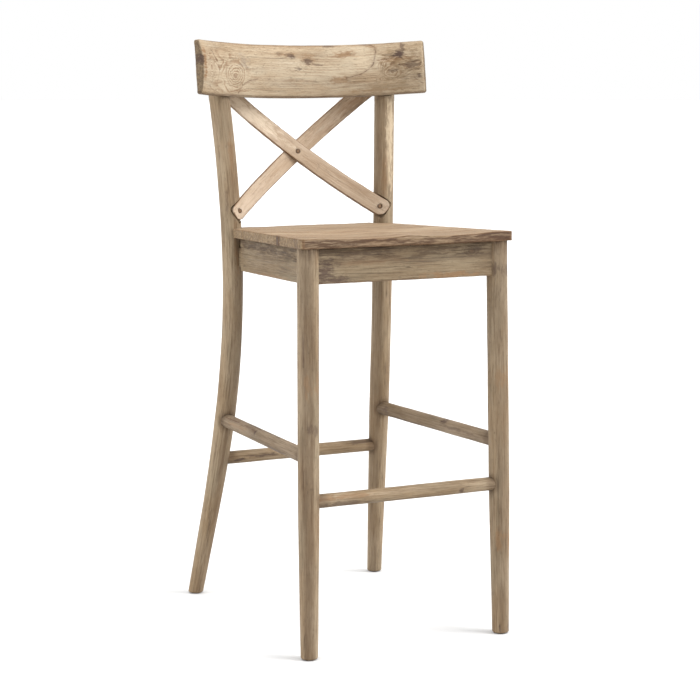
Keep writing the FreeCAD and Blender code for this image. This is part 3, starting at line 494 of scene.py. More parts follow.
def collars(cross_stretcher, side_name, surface):
    """The narrow gap round each of the two stretchers that end in one leg or post, and the place round it
    that is darkened with grime and painted contact shade.
    """
    in_front = cross_stretcher.startswith("front")
    cuts, dirt_and_shade = [], []
    for name, starts_here in ((cross_stretcher, side_name == "left"), (f"{side_name}_stretcher", in_front)):
        start, end, radius = stretcher_ends()[name]
        here, there = (start, end) if starts_here else (end, start)
        inward = (there - here).normalized()
        inner, outer = here + inward * (surface - COLLAR_DEEP), here + inward * (surface + BEYOND)
        cuts.append(rod("collar", inner, outer, radius + COLLAR_GAP))
        dirt_and_shade.append((here + inward * surface, radius + 0.012))
    return cuts, dirt_and_shade


# --- the pieces ---

def make_leg(side_name, seed):
    """A front leg: a turned bar with a long taper, from its glide to just inside the seat."""
    name, side = f"front_{side_name}_leg", SIDES[side_name]
    low, high = leg_point(side, FEET_UP), leg_point(side, SEAT_TOP - SEAT_THICK)

    def radius(s):
        share = min((s + FEET_UP) / LEG_TAPER, 1.0)
        return LEG_FOOT_RADIUS + (LEG_RADIUS - LEG_FOOT_RADIUS) * share

    line = Turned(low, high, radius)
    places = stations(0, line.length + 0.0006, STEP, FOOT_ROUND, 0.0004)
    item = loft(name, line, circle(radius, ROUND_SIDES), places)
    cuts, dirt_and_shade = collars("front_footrest_stretcher", side_name, LEG_RADIUS)
    return finished(item, line, seed, "leg", cuts, dirt_and_shade)


def slat_seats(side_name):
    """What the slats take out of a post: one lies on a flat ahead of it, the other on a flat behind it."""
    tools = []
    half, deep = SLAT_THICK / 2, 0.018
    for which, side in SLAT_SIDE.items():
        line = BentSlat(which)
        wide = SLAT_WIDE / 2 + FACET_MARGIN
        if side == SIDES[side_name]:
            low, high, middle = line.low - FACET_MARGIN, line.low / 2, -deep / 2
        else:
            low, high, middle = line.high / 2, line.high + FACET_MARGIN, deep / 2
        outline = oblong(wide, half + deep / 2, SHARP, 0.02, (0.0, middle))
        tools.append(loft("slat_seat", line, outline, stations(low, high, 0.006, SHARP, SHARP)))
    return tools


def rail_housing():
    """What the crest rail takes out of the posts' fronts."""
    line = BentRail()
    high, deep = RAIL_HIGH + BEYOND, RAIL_THICK * 1.5
    middle = (high / 2 - MM, RAIL_THICK / 2 - deep / 2)
    reach = line.reach + BEYOND
    return loft("rail_housing", line, oblong(high / 2, deep / 2, SHARP, 0.03, middle),
                stations(-reach, reach, 0.004, SHARP, SHARP))


def plug_places():
    """Each wooden plug's centre on the wood's face, and the way into the wood."""
    places = {}
    for which, side in SLAT_SIDE.items():
        line = BentSlat(which)
        places[f"{which}_low"] = line.fixing(side * SLAT_LOW_FIXING, -SLAT_THICK / 2)
        surface, outward = line.fixing(-side * SLAT_HIGH_FIXING, SLAT_THICK / 2)
        places[f"{which}_high"] = (surface, -outward)
        post = POSTS["left" if side > 0 else "right"]
        point = post.centre(RAIL_MIDDLE.z + UPPER_RAIL_SCREW)
        local = RAIL.inverted() @ point
        inward = turned(RAIL, Vector((-local.x, -RAIL_RADIUS - local.y, 0)))
        places[f"{which}_rail"] = (point - inward * (POST_RADIUS - 0.0004), inward)
    places["crossing"] = BentSlat("front").fixing(0.0, -SLAT_THICK / 2)
    return places


def plug_recess(place):
    """The shallow recess that a plug sits in, a little wider than the plug."""
    surface, inward = place
    outside, inside = surface - inward * 0.010, surface + inward * RECESS_DEEP
    return rod("recess", outside, inside, PLUG_RADIUS + RECESS_GAP, 28)


def make_post(side_name, seed):
    """A curved rear post with the seats for the rail and the slats."""
    name, line = f"rear_{side_name}_post", POSTS[side_name]
    item = loft(name, line, circle(line.radius, ROUND_SIDES),
                stations(FEET_UP, POST_TOP, STEP, FOOT_ROUND, FOOT_ROUND))
    cuts, dirt_and_shade = collars("rear_stretcher", side_name, line.radius(REAR_HEIGHT))
    which = "front" if side_name == "left" else "rear"
    cuts += [rail_housing(), *slat_seats(side_name), plug_recess(plug_places()[f"{which}_rail"])]
    return finished(item, line, seed, "leg", cuts, dirt_and_shade)


def make_stretcher(name, seed):
    """A round stretcher between two legs, ending inside them."""
    start, end, radius = stretcher_ends()[name]
    along = (end - start).normalized()
    inside = 0.010
    line = Turned(start + along * inside, end - along * inside, lambda s: radius)
    item = loft(name, line, circle(line.radius, 36), stations(0, line.length, STEP, 0.001, 0.001))
    # Where the stretcher enters its legs: grime and painted contact shade.
    dirt_and_shade = [(start + along * LEG_RADIUS, radius + 0.010), (end - along * LEG_RADIUS, radius + 0.010)]
    return finished(item, line, seed, "stretcher", dirt_and_shade=dirt_and_shade)


def block(name, low, high):
    """A plain box in the seat's frame, used to cut with."""
    shape = bmesh.new()
    bmesh.ops.create_cube(shape, size=1.0)
    middle, span = (low + high) / 2, high - low
    for vertex in shape.verts:
        vertex.co = SEAT @ (middle + vertex.co * span)
    mesh = bpy.data.meshes.new(name)
    shape.to_mesh(mesh)
    shape.free()
    return linked(name, mesh)


def post_notches():
    """What the posts take out of the seat's rear corners."""
    tools = []
    far, deep = 0.300, 0.040
    for side_name, side in SIDES.items():
        post = POSTS[side_name]
        level = SEAT_TOP - SEAT_THICK
        point, along = post.centre(level), post.tangent(level)
        tools.append(rod("notch", point - along * BEYOND, point + along * BEYOND, NOTCH_RADIUS, 64))
        middle = IN_SEAT @ point
        for inner, front in ((0.0, -NOTCH_RADIUS), (-NOTCH_RADIUS, 0.0)):
            near = side * (abs(middle.x) + inner)
            spans = sorted((near, near + side * far))
            tools.append(block("notch", Vector((spans[0], middle.y + front, -deep)),
                               Vector((spans[1], middle.y + far, deep * 2))))
    return tools


def make_seat_board(name, front, rear, seed):
    """One board of the seat, hollowed with its neighbours."""
    line = SeatBoard(front, rear)
    joint = 0.0012
    outline = oblong((rear - front) / 2, SEAT_THICK / 2, joint, 0.0035, ((front + rear) / 2, 0.0))
    reach = SEAT_WIDE / 2
    item = loft(name, line, outline, stations(-reach, reach, 0.004, 0.0016, 0.0016))
    cuts = post_notches() if name == "seat_board_rear" else ()
    return finished(item, line, seed, "seat", cuts)


def apron_line(start, end):
    """An apron's line through its middle, from two points of its outer face in the seat's plane."""
    along = (end - start).normalized()
    inward = Vector((-along.y, along.x, 0)) * (APRON_THICK / 2)
    drop = Vector((0, 0, -APRON_HIGH / 2))
    return Straight(SEAT @ (start + inward + drop), SEAT @ (end + inward + drop), turned(SEAT, Z),
                    APRON_HIGH / 2, APRON_THICK / 2)


def apron_ends():
    """Each apron's outer face, from end to end, in the seat's plane, with its inside on the left."""
    leg = IN_SEAT @ leg_point(1, APRON_LEVEL)
    post = IN_SEAT @ POSTS["right"].centre(APRON_LEVEL)
    front, rear = leg.y - APRON_PROUD, post.y + APRON_THICK / 2
    return {
        "front_apron": (Vector((-leg.x, front, 0)), Vector((leg.x, front, 0))),
        "rear_apron": (Vector((post.x, rear, 0)), Vector((-post.x, rear, 0))),
        "right_apron": (Vector((SIDE_APRON_FRONT, leg.y, 0)), Vector((SIDE_APRON_REAR, post.y, 0))),
        "left_apron": (Vector((-SIDE_APRON_REAR, post.y, 0)), Vector((-SIDE_APRON_FRONT, leg.y, 0))),
    }


def make_apron(name, seed):
    """An apron: a board with eased edges. A side apron stops short of its post and goes on as a tenon."""
    start, end = apron_ends()[name]
    line = apron_line(start, end)
    low, high = 0.0, line.length
    stop = POST_RADIUS + SIDE_APRON_GAP
    if name == "left_apron":
        low = stop
    if name == "right_apron":
        high -= stop
    outline = oblong(APRON_HIGH / 2, APRON_THICK / 2, 0.0012, 0.004)
    item = loft(name, line, outline, stations(low, high, STEP, 0.0015, 0.0015))
    if name in ("left_apron", "right_apron"):
        rise = APRON_HIGH / 2 - TENON_DROP - TENON_HIGH / 2
        outward = APRON_THICK / 2 - TENON_INSET - TENON_THICK / 2
        tenon = oblong(TENON_HIGH / 2, TENON_THICK / 2, 0.0008, 0.01, (rise, outward))
        reach = POST_RADIUS - TENON_DEEP
        span = (reach, low + 0.01) if name == "left_apron" else (high - 0.01, line.length - reach)
        combine(item, [loft("tenon", line, tenon, stations(*span, 0.01, 0.0005, 0.0005))], "UNION")
    return finished(item, line, seed, "apron")


def make_rail(seed):
    """The crest rail: a bent board with generous soft edges and slightly swelling ends."""
    line = BentRail()
    outline = oblong(RAIL_HIGH / 2, RAIL_THICK / 2, RAIL_EDGE, 0.0028, (RAIL_HIGH / 2, 0.0))
    item = loft("crest_rail", line, outline,
                stations(-line.reach, line.reach, 0.0028, RAIL_EDGE, RAIL_EDGE), bulge=0.0008)
    return finished(item, line, seed, "rail")


def drawn_in(distance, radius):
    """How far a quarter-round corner draws an outline in, at a distance from the end."""
    reach = max(radius - distance, 0.0)
    return radius - math.sqrt(radius ** 2 - reach ** 2)


def slat_outline(line):
    """A slat's section, narrower near its rounded ends."""
    plain = oblong(SLAT_WIDE / 2, SLAT_THICK / 2, 0.0016, 0.0028)

    def outline(s, inset):
        distance = max(min(s - line.low, line.high - s), 0.0)
        share = 1 - drawn_in(distance, SLAT_CORNER) / (SLAT_WIDE / 2)
        return [(a * share, d) for a, d in plain(s, inset)]
    return outline


def slat_places(line):
    """A slat's stations, closest together where its corners are round."""
    steps, soft = 12, 0.0016
    ends = [SLAT_CORNER * (1 - math.cos(math.pi / 2 * number / steps)) for number in range(steps + 1)]
    count = round((line.high - line.low - 2 * SLAT_CORNER) / 0.004)
    flat = [SLAT_CORNER + (line.high - line.low - 2 * SLAT_CORNER) * number / count
            for number in range(1, count)]
    low = [(line.low + t, drawn_in(t, soft)) for t in ends]
    high = [(line.high - t, drawn_in(t, soft)) for t in reversed(ends)]
    return low + [(line.low + t, 0.0) for t in flat] + high


def make_slat(which, seed):
    """A thin bent slat with rounded ends. The rear one is let into the back of the front one."""
    line = BentSlat(which)
    item = loft(f"back_slat_{which}", line, slat_outline(line), slat_places(line))
    cuts = []
    if which == "rear":
        other = BentSlat("front")
        wide, ahead = SLAT_WIDE / 2 + 0.0003, 0.006
        housing = oblong(wide, SLAT_THICK / 2 + ahead / 2, SHARP, 0.01, (0.0, -ahead / 2))
        cuts.append(loft("housing", other, housing, stations(-0.08, 0.08, 0.006, SHARP, SHARP)))
    labels = [f"{which}_low", f"{which}_high"] + (["crossing"] if which == "front" else [])
    cuts += [plug_recess(plug_places()[label]) for label in labels]
    return finished(item, line, seed, "slat", cuts)


def make_plugs(seed):
    """Seven slightly domed wooden plugs."""
    items = []
    for surface, inward in plug_places().values():
        across = inward.cross(Z).normalized()
        line = Straight(surface + inward * (PLUG_LONG - 0.0001), surface - inward * 0.0001, across,
                        PLUG_RADIUS, PLUG_RADIUS)
        outline = circle(lambda s: PLUG_RADIUS, 24)
        item = loft("plug", line, outline, stations(0, line.length, 0.001, 0.0003, 0.0007), bulge=0.0004)
        items.append(finished(item, line, seed, "plug"))
    with bpy.context.temp_override(active_object=items[0], object=items[0], selected_objects=items,
                                   selected_editable_objects=items):
        bpy.ops.object.join()
    return items[0]


# --- materials ---

def shade(red, green, blue):
    """A colour from its values on a screen, 0 to 255."""
    parts = []
    for value in (red / 255, green / 255, blue / 255):
        parts.append(value / 12.92 if value <= 0.04045 else ((value + 0.055) / 1.055) ** 2.4)
    return (*parts, 1.0)


def toned(colour, share):
    """A lighter or darker form of a colour."""
    return (*(part * share for part in colour[:3]), 1.0)


def tones(pale, tan, dark, grey):
    """The four colours of one kind of wood."""
    return {"pale": shade(*pale), "tan": shade(*tan), "dark": shade(*dark), "grey": shade(*grey)}


def metres(*lengths):
    """Lengths given in millimetres."""
    return [length * MM for length in lengths]


STAIN, CRACK, CHECK = shade(70, 52, 42), shade(84, 58, 42), shade(78, 58, 42)
KNOT_CORE, RUBBED = shade(104, 76, 54), shade(108, 79, 53)
BROWN, OLIVE, ASHEN = shade(126, 97, 67), shade(112, 92, 64), shade(138, 126, 110)
# The pale worn colour is also used to paint a highlight on the right post.
PALE_WEAR_AND_HIGHLIGHT, PALEST_TINT = shade(186, 168, 142), shade(206, 190, 168)

# Colours that the wood is multiplied by.
RING_SHADE, FIBRE_SHADE = (0.46, 0.30, 0.18, 1.0), (0.62, 0.54, 0.46, 1.0)
# The colour for bands paints shade under the seat and along edges, with some brown edge lines.
DASH_SHADE, SHADOW_AND_GRIME_SHADE = (0.40, 0.31, 0.24, 1.0), (0.30, 0.22, 0.17, 1.0)
# Painted contact shade, with grime, round joints.
CONTACT_SHADE_AND_DIRT = (0.42, 0.34, 0.28, 1.0)

RING_TURN = 0.35    # radians that the growth rings are turned by, seen from a piece's end
KNOT_RING = 0.0046    # metres between the rings round a knot
CURLS = 7.0    # how many rings the curls of a burl run through

# Layers of noise: cells in a metre along, across and in depth, then detail, roughness and an offset.
LAYERS = {
    "blotch": ((6, 19, 19), 3.0, 0.55, 0.0),
    "cloud": ((9, 34, 34), 3.0, 0.60, 4.0),
    "band": ((4, 60, 60), 4.0, 0.60, 7.0),
    "streak": ((7, 150, 150), 5.0, 0.62, 0.0),
    "thread": ((12, 430, 430), 4.0, 0.62, 2.0),
    "fibre": ((45, 800, 800), 4.0, 0.65, 0.0),
    "dash": ((140, 1300, 1300), 2.0, 0.50, 0.0),
    "check": ((5, 150, 150), 2.0, 0.60, 0.0),
    "checked": ((9, 45, 45), 1.0, 0.50, 0.0),
    "patch": ((12, 45, 45), 2.0, 0.50, 0.0),
    "ragged": ((26, 150, 260), 4.0, 0.65, 0.0),
    "mottle": ((210, 210, 210), 4.0, 0.70, 0.0),
    "stroke": ((60, 330, 120), 3.0, 0.60, 0.0),
}

FRAME_TONES = tones((146, 130, 107), (128, 107, 81), (86, 67, 48), (114, 101, 80))
POST_TONES = tones((149, 132, 108), (131, 110, 83), (90, 70, 50), (119, 105, 83))
SIDE_TONES = tones((132, 115, 94), (112, 94, 71), (78, 60, 43), (100, 88, 70))
APRON_TONES = tones((134, 118, 94), (116, 98, 74), (70, 55, 42), (104, 92, 72))
SEAT_TONES = tones((152, 132, 106), (134, 109, 82), (98, 76, 54), (142, 123, 99))
CREST_TONES = tones((173, 158, 135), (151, 131, 105), (112, 86, 60), (150, 137, 117))
SLAT_TONES = tones((184, 166, 146), (166, 144, 120), (128, 100, 74), (172, 156, 136))
BOARD_SHARES = (0.97, 1.04, 0.93, 1.02)    # how light each seat board is


class Nodes:
    """Adds nodes to one material. A value may be a number, a colour, a vector or another node's output."""

    def __init__(self, name):
        self.material = bpy.data.materials.new(name)
        self.material.use_nodes = True
        self.tree = self.material.node_tree
        self.tree.nodes.clear()

    def add(self, kind, values, out=0, **settings):
        node = self.tree.nodes.new(kind)
        for key, value in settings.items():
            setattr(node, key, value)
        for key, value in values.items():
            if isinstance(value, bpy.types.NodeSocket):
                self.tree.links.new(value, node.inputs[key])
            else:
                node.inputs[key].default_value = value
        return node.outputs[out]

    def attribute(self, name):
        return self.add("ShaderNodeAttribute", {}, out=1, attribute_name=name)

    def place(self):
        """Places in a CAD piece's own coordinates."""
        return self.add("ShaderNodeTexCoord", {}, out=3)

    def parts(self, vector):
        """A vector's three numbers."""
        return self.add("ShaderNodeSeparateXYZ", {0: vector}).node.outputs

    def math(self, operation, a, b=0.0, c=0.0):
        return self.add("ShaderNodeMath", {0: a, 1: b, 2: c}, operation=operation)

    def plus(self, base, value, factor=1.0):
        """base + value * factor"""
        return self.math("MULTIPLY_ADD", value, factor, base)

    def minus(self, a, b):
        return self.math("SUBTRACT", a, b)

    def most(self, a, b):
        return self.math("MAXIMUM", a, b)

    def times(self, *values):
        total = values[0]
        for value in values[1:]:
            total = self.math("MULTIPLY", total, value)
        return total

    def vector(self, operation, a, b=(0, 0, 0), out=0):
        return self.add("ShaderNodeVectorMath", {0: a, 1: b}, out=out, operation=operation)

    def reach(self, grain, along, across, scale):
        """The distance from a place in the grain's coordinates, scaled along, across and in depth."""
        offset = self.vector("SUBTRACT", grain, (along, across, 0.0))
        return self.vector("LENGTH", self.vector("MULTIPLY", offset, scale), out=1)

    def noise(self, at, stretch, detail=2.0, rough=0.5):
        """Noise from 0 to 1, about 0.5. stretch is the cells in a metre along, across and in depth."""
        place = self.vector("MULTIPLY", at, stretch)
        return self.add("ShaderNodeTexNoise",
                        {"Vector": place, "Scale": 1.0, "Detail": detail, "Roughness": rough})

    def sway(self, at, stretch, detail=2.0, rough=0.5):
        """Noise from -0.5 to 0.5."""
        return self.minus(self.noise(at, stretch, detail, rough), 0.5)

    def step(self, value, low, high, start=0.0, end=1.0):
        """start below low, end above high, and a soft step between."""
        return self.add("ShaderNodeMapRange", {0: value, 1: low, 2: high, 3: start, 4: end},
                        interpolation_type="SMOOTHSTEP")

    def mix(self, share, a, b, blend="MIX"):
        return self.add("ShaderNodeMix", {0: share, 6: a, 7: b}, out=2, data_type="RGBA", blend_type=blend)

    def darken(self, share, colour, by):
        """The colour multiplied by another, as far as share says."""
        return self.mix(share, colour, by, "MULTIPLY")

    def finish(self, colour, rough, height, depth, metal=0.0, specular=0.3):
        """The shader, with bumps of a depth in metres."""
        bump = self.add("ShaderNodeBump", {"Height": height, "Strength": 1.0, "Distance": depth})
        shader = self.add("ShaderNodeBsdfPrincipled", {
            "Base Color": colour, "Roughness": rough, "Normal": bump, "Metallic": metal,
            "Specular IOR Level": specular})
        return self.show(shader)

    def show(self, shader):
        output = self.tree.nodes.new("ShaderNodeOutputMaterial")
        self.tree.links.new(shader, output.inputs["Surface"])
        return self.material


def figure(n, grain, at, spacing, knots, burls):
    """Growth rings: straight lines that wander, rings that close round each knot, and curls in each burl.

    Returns the lines, the knots' dark cores and how curly the figure is, each from 0 to 1.
    """
    parts = n.parts(grain)
    bend = n.sway(at, (3.2, 17, 17))
    drift = n.sway(at, (14, 90, 90), 3.0)
    place = n.plus(n.times(parts[1], math.cos(RING_TURN)), parts[2], math.sin(RING_TURN))
    rings = n.math("DIVIDE", n.plus(n.plus(place, bend, 0.050), drift, 0.008), spacing)
    curls = n.times(n.noise(at, (20, 34, 34), 0.6), CURLS)
    crinkle = n.sway(at, (70, 80, 80))
    cores, curly = 0.0, 0.0
    for burl in burls:
        along, across, long, wide = metres(*burl)
        reach = n.reach(grain, along, across, (1 / long, 1 / wide, 0.0))
        near = n.step(n.plus(reach, bend, 1.5), 0.5, 1.3, 1.0, 0.0)
        rings = n.plus(rings, n.minus(curls, rings), near)
        curly = n.most(curly, near)
    for *knot, longer in knots:
        along, across, size = metres(*knot)
        reach = n.reach(grain, along, across, (1 / longer, 1.0, 0.3))
        reach = n.plus(n.plus(reach, bend, 0.012), crinkle, 0.009)
        near = n.step(reach, size, size * 2.0, 1.0, 0.0)
        rings = n.plus(rings, n.minus(n.math("DIVIDE", reach, KNOT_RING), rings), near)
        cores = n.most(cores, n.step(reach, size * 0.05, size * 0.35, 1.0, 0.0))
        curly = n.most(curly, near)
    share = n.math("FRACT", rings)
    broken = n.step(n.noise(at, (60, 120, 120), 3.0), 0.34, 0.60, 0.35, 1.0)
    return n.times(n.step(share, 0.15, 0.85), n.step(share, 1.0, 0.88), broken), cores, curly


def marks(n, grain, at, spots):
    """Ragged patches at given places."""
    ragged = n.sway(at, (60, 190, 190), 4.0, 0.65)
    total = 0.0
    for *spot, strength in spots:
        along, across, long, wide = metres(*spot)
        reach = n.plus(n.reach(grain, along, across, (1 / long, 1 / wide, 0.0)), ragged, 3.4)
        total = n.most(total, n.step(reach, 0.3, 1.2, strength, 0.0))
    return total


def cracks(n, grain, at, paths):
    """Dark broken lines through given points, each with a soft halo."""
    waver = n.sway(at, (90, 160, 160), 3.0, 0.6)
    total = 0.0
    for half_width, strength, points in paths:
        wide = half_width * MM
        for first, second in zip(points, points[1:]):
            start, end = metres(*first), metres(*second)
            way = (end[0] - start[0], end[1] - start[1], 0.0)
            offset = n.vector("MULTIPLY", n.vector("SUBTRACT", grain, (*start, 0.0)), (1.0, 1.0, 0.0))
            share = n.math("DIVIDE", n.vector("DOT_PRODUCT", offset, way, out=1), way[0] ** 2 + way[1] ** 2)
            share = n.math("MINIMUM", n.most(share, 0.0), 1.0)
            nearest = n.add("ShaderNodeVectorMath", {0: way, "Scale": share}, operation="SCALE")
            reach = n.plus(n.vector("DISTANCE", offset, nearest, out=1), waver, 0.0035)
            reach = n.math("ABSOLUTE", reach)
            total = n.most(total, n.step(reach, wide * 0.3, wide * 1.8, strength, 0.0))
            total = n.most(total, n.step(reach, wide, wide * 6, strength * 0.30, 0.0))
    return n.times(total, n.step(n.noise(at, (50, 120, 120)), 0.38, 0.56, 0.45, 1.0))


def shade_and_grime_bands(n, grain, ragged, bands):
    """Bands that darken the wood along edges or under other pieces: mostly painted shade, and some brown
    edge lines.
    """
    parts = n.parts(grain)
    total = 0.0
    for axis, start, full, strength in bands:
        total = n.most(total, n.step(parts[axis], start * MM, full * MM, 0.0, strength))
    return n.times(total, n.step(ragged, 0.39, 0.57, 0.20, 1.0))


def tone_of_wood(n, layers, colours, contrast):
    """Pale and tan areas, under grey clouds, dark bands, streaks and fine threads."""
    colour = n.mix(n.step(layers["blotch"], 0.34, 0.66), colours["pale"], colours["tan"])
    coats = (("cloud", 0.48, 0.70, 0.60, "grey"),
             ("band", 0.50, 0.74, 0.42 * contrast, "dark"),
             ("streak", 0.52, 0.74, 0.42 * contrast, "dark"),
             ("streak", 0.46, 0.28, 0.40, "pale"),
             ("thread", 0.50, 0.68, 0.60 * contrast, "dark"),
             ("thread", 0.48, 0.34, 0.50, "pale"))
    for layer, low, high, strength, tone in coats:
        colour = n.mix(n.step(layers[layer], low, high, 0.0, strength), colour, colours[tone])
    return colour


def painted_side_shade(n, grain, streak, across, depth, strength):
    """Painted shade: where a round piece faces a direction, across and in depth, it is painted darker."""
    outward = n.vector("NORMALIZE", n.vector("MULTIPLY", grain, (0.0, 1.0, 1.0)))
    toward = n.vector("DOT_PRODUCT", outward, (0.0, across, depth), out=1)
    toward = n.plus(toward, n.minus(streak, 0.5), 0.9)
    return n.step(toward, 0.62, 1.0, 0.0, strength)


def end_grain(n, layers, cut_shade):
    """Sawn ends: dark mottled pores and paler strokes of the saw."""
    cut = n.mix(n.step(layers["mottle"], 0.36, 0.64), shade(134, 113, 84), shade(88, 69, 50))
    cut = n.mix(n.step(layers["stroke"], 0.52, 0.70, 0.0, 0.45), cut, shade(150, 130, 100))
    return n.darken(1.0, cut, (cut_shade, cut_shade, cut_shade, 1.0))


def wood(name, seed, colours, spacing=0.006, figured=0.5, contrast=1.0, fine=0.5, rust=0.5, cut_shade=1.0,
         knots=(), burls=(), tints=(), stains=(), paths=(), bands=(), shaded_side=None):
    """Weathered, unsealed wood, in the grain's own coordinates.

    tints are (colour, patches) under the figure, and stains are dark patches over it. cut_shade darkens the
    end grain. The last argument paints shade on one side of a round piece: its direction across and in
    depth, and a strength.
    """
    n = Nodes(name)
    grain = n.attribute("grain")
    edge, end, dirt_and_shade = n.parts(n.attribute("wear_and_shade"))
    at = n.vector("ADD", grain, (seed * 1.31, seed * 0.77, seed * 0.53))
    layers = {}
    for layer, (stretch, detail, rough, shift) in LAYERS.items():
        layers[layer] = n.noise(n.vector("ADD", at, (shift, shift, shift)), stretch, detail, rough)
    streak, fibre, patch = layers["streak"], layers["fibre"], layers["patch"]
    rings, cores, curly = figure(n, grain, at, spacing, knots, burls)

    colour = tone_of_wood(n, layers, colours, contrast)
    # Painted shade: one side of a round piece is darker, as light falls on it.
    if shaded_side:
        colour = n.mix(painted_side_shade(n, grain, streak, *shaded_side), colour, colours["dark"])
    for tint, spots in tints:
        colour = n.mix(marks(n, grain, at, spots), colour, tint)
    lined = n.most(n.step(patch, 0.40, 0.64, 0.05, 0.60), n.times(curly, 0.95))
    colour = n.darken(n.times(rings, figured, lined), colour, RING_SHADE)
    colour = n.darken(n.step(fibre, 0.42, 0.72, 0.0, fine), colour, FIBRE_SHADE)
    dashes = n.step(layers["dash"], 0.63, 0.72)
    colour = n.darken(n.times(dashes, fine), colour, DASH_SHADE)
    checks = n.step(n.math("ABSOLUTE", n.minus(layers["check"], 0.5)), 0.003, 0.014, 1.0, 0.0)
    checks = n.times(checks, n.step(layers["checked"], 0.60, 0.68))
    colour = n.mix(n.times(checks, 0.55 * contrast), colour, CHECK)
    colour = n.mix(n.times(cores, 0.55), colour, KNOT_CORE)

    colour = n.mix(n.times(end, 0.92), colour, end_grain(n, layers, cut_shade))
    hollow = cracks(n, grain, at, paths)
    colour = n.mix(hollow, colour, CRACK)
    if stains:
        stained = marks(n, grain, at, stains)
        colour = n.mix(stained, colour, STAIN)
        hollow = n.most(hollow, stained)
    # Painted shade in bands under the seat and along shaded edges, with some brown edge lines.
    colour = n.darken(shade_and_grime_bands(n, grain, layers["ragged"], bands), colour, SHADOW_AND_GRIME_SHADE)
    rubbed = n.step(n.plus(edge, patch, 0.8), 1.02, 1.36, 0.0, rust)
    colour = n.mix(rubbed, colour, RUBBED)
    # Painted contact shade, with grime, round the joints.
    colour = n.darken(n.times(dirt_and_shade, 0.60), colour, CONTACT_SHADE_AND_DIRT)

    height = n.plus(n.times(streak, -0.7), fibre, -0.9)
    height = n.plus(height, rings, n.times(lined, -0.5))
    height = n.plus(height, dashes, -0.6)
    height = n.plus(height, n.most(checks, hollow), -1.0)
    return n.finish(colour, n.step(streak, 0.3, 0.75, 0.58, 0.80), height, 0.0008)


def block_wood(name, turn):
    """Plainer wood for the corner blocks, along a level direction turned from +X."""
    n = Nodes(name)
    at = n.add("ShaderNodeMapping", {"Vector": n.place(), "Rotation": (0.0, 0.0, turn)})
    streak = n.noise(at, (9, 130, 130), 5.0, 0.6)
    fibre = n.noise(at, (40, 900, 900), 3.0)
    colour = n.mix(n.step(streak, 0.35, 0.72), shade(176, 154, 122), shade(120, 98, 72))
    colour = n.darken(n.step(fibre, 0.45, 0.75, 0.0, 0.4), colour, FIBRE_SHADE)
    height = n.plus(n.times(streak, -0.6), fibre, -0.8)
    return n.finish(colour, n.step(streak, 0.3, 0.7, 0.6, 0.8), height, 0.0006)


def plug_wood():
    """Dark, oiled-looking plug faces with a darker rim."""
    n = Nodes("plug_wood")
    grain = n.attribute("grain")
    out = n.reach(grain, 0.0, 0.0, (0.0, 1.0, 1.0))
    streak = n.noise(grain, (200, 260, 1400), 3.0)
    colour = n.mix(n.step(streak, 0.35, 0.7), shade(120, 92, 64), shade(78, 57, 40))
    colour = n.mix(n.step(out, PLUG_RADIUS * 0.55, PLUG_RADIUS * 0.95), colour, shade(54, 38, 28))
    return n.finish(colour, 0.62, streak, 0.0003)


def zinc():
    """Zinc-plated screws: grey metal, finely brushed and a little dulled."""
    n = Nodes("screw_steel")
    place = n.place()
    cloud = n.noise(place, (420, 420, 420), 3.0)
    brushed = n.noise(place, (1800, 1800, 160))
    colour = n.mix(n.step(cloud, 0.3, 0.7), (0.52, 0.53, 0.55, 1.0), (0.36, 0.36, 0.37, 1.0))
    return n.finish(colour, n.step(cloud, 0.3, 0.7, 0.28, 0.48), brushed, 0.00005, metal=1.0, specular=0.5)


def glide_plastic():
    """Dark brown moulded plastic, scuffed on its lower face."""
    n = Nodes("glide_plastic")
    scuff = n.noise(n.place(), (500, 90, 500), 4.0, 0.7)
    colour = n.mix(n.step(scuff, 0.45, 0.75), shade(74, 60, 48), shade(112, 98, 84))
    return n.finish(colour, n.step(scuff, 0.4, 0.7, 0.45, 0.7), scuff, 0.0002)


# --- the wood's marks ---

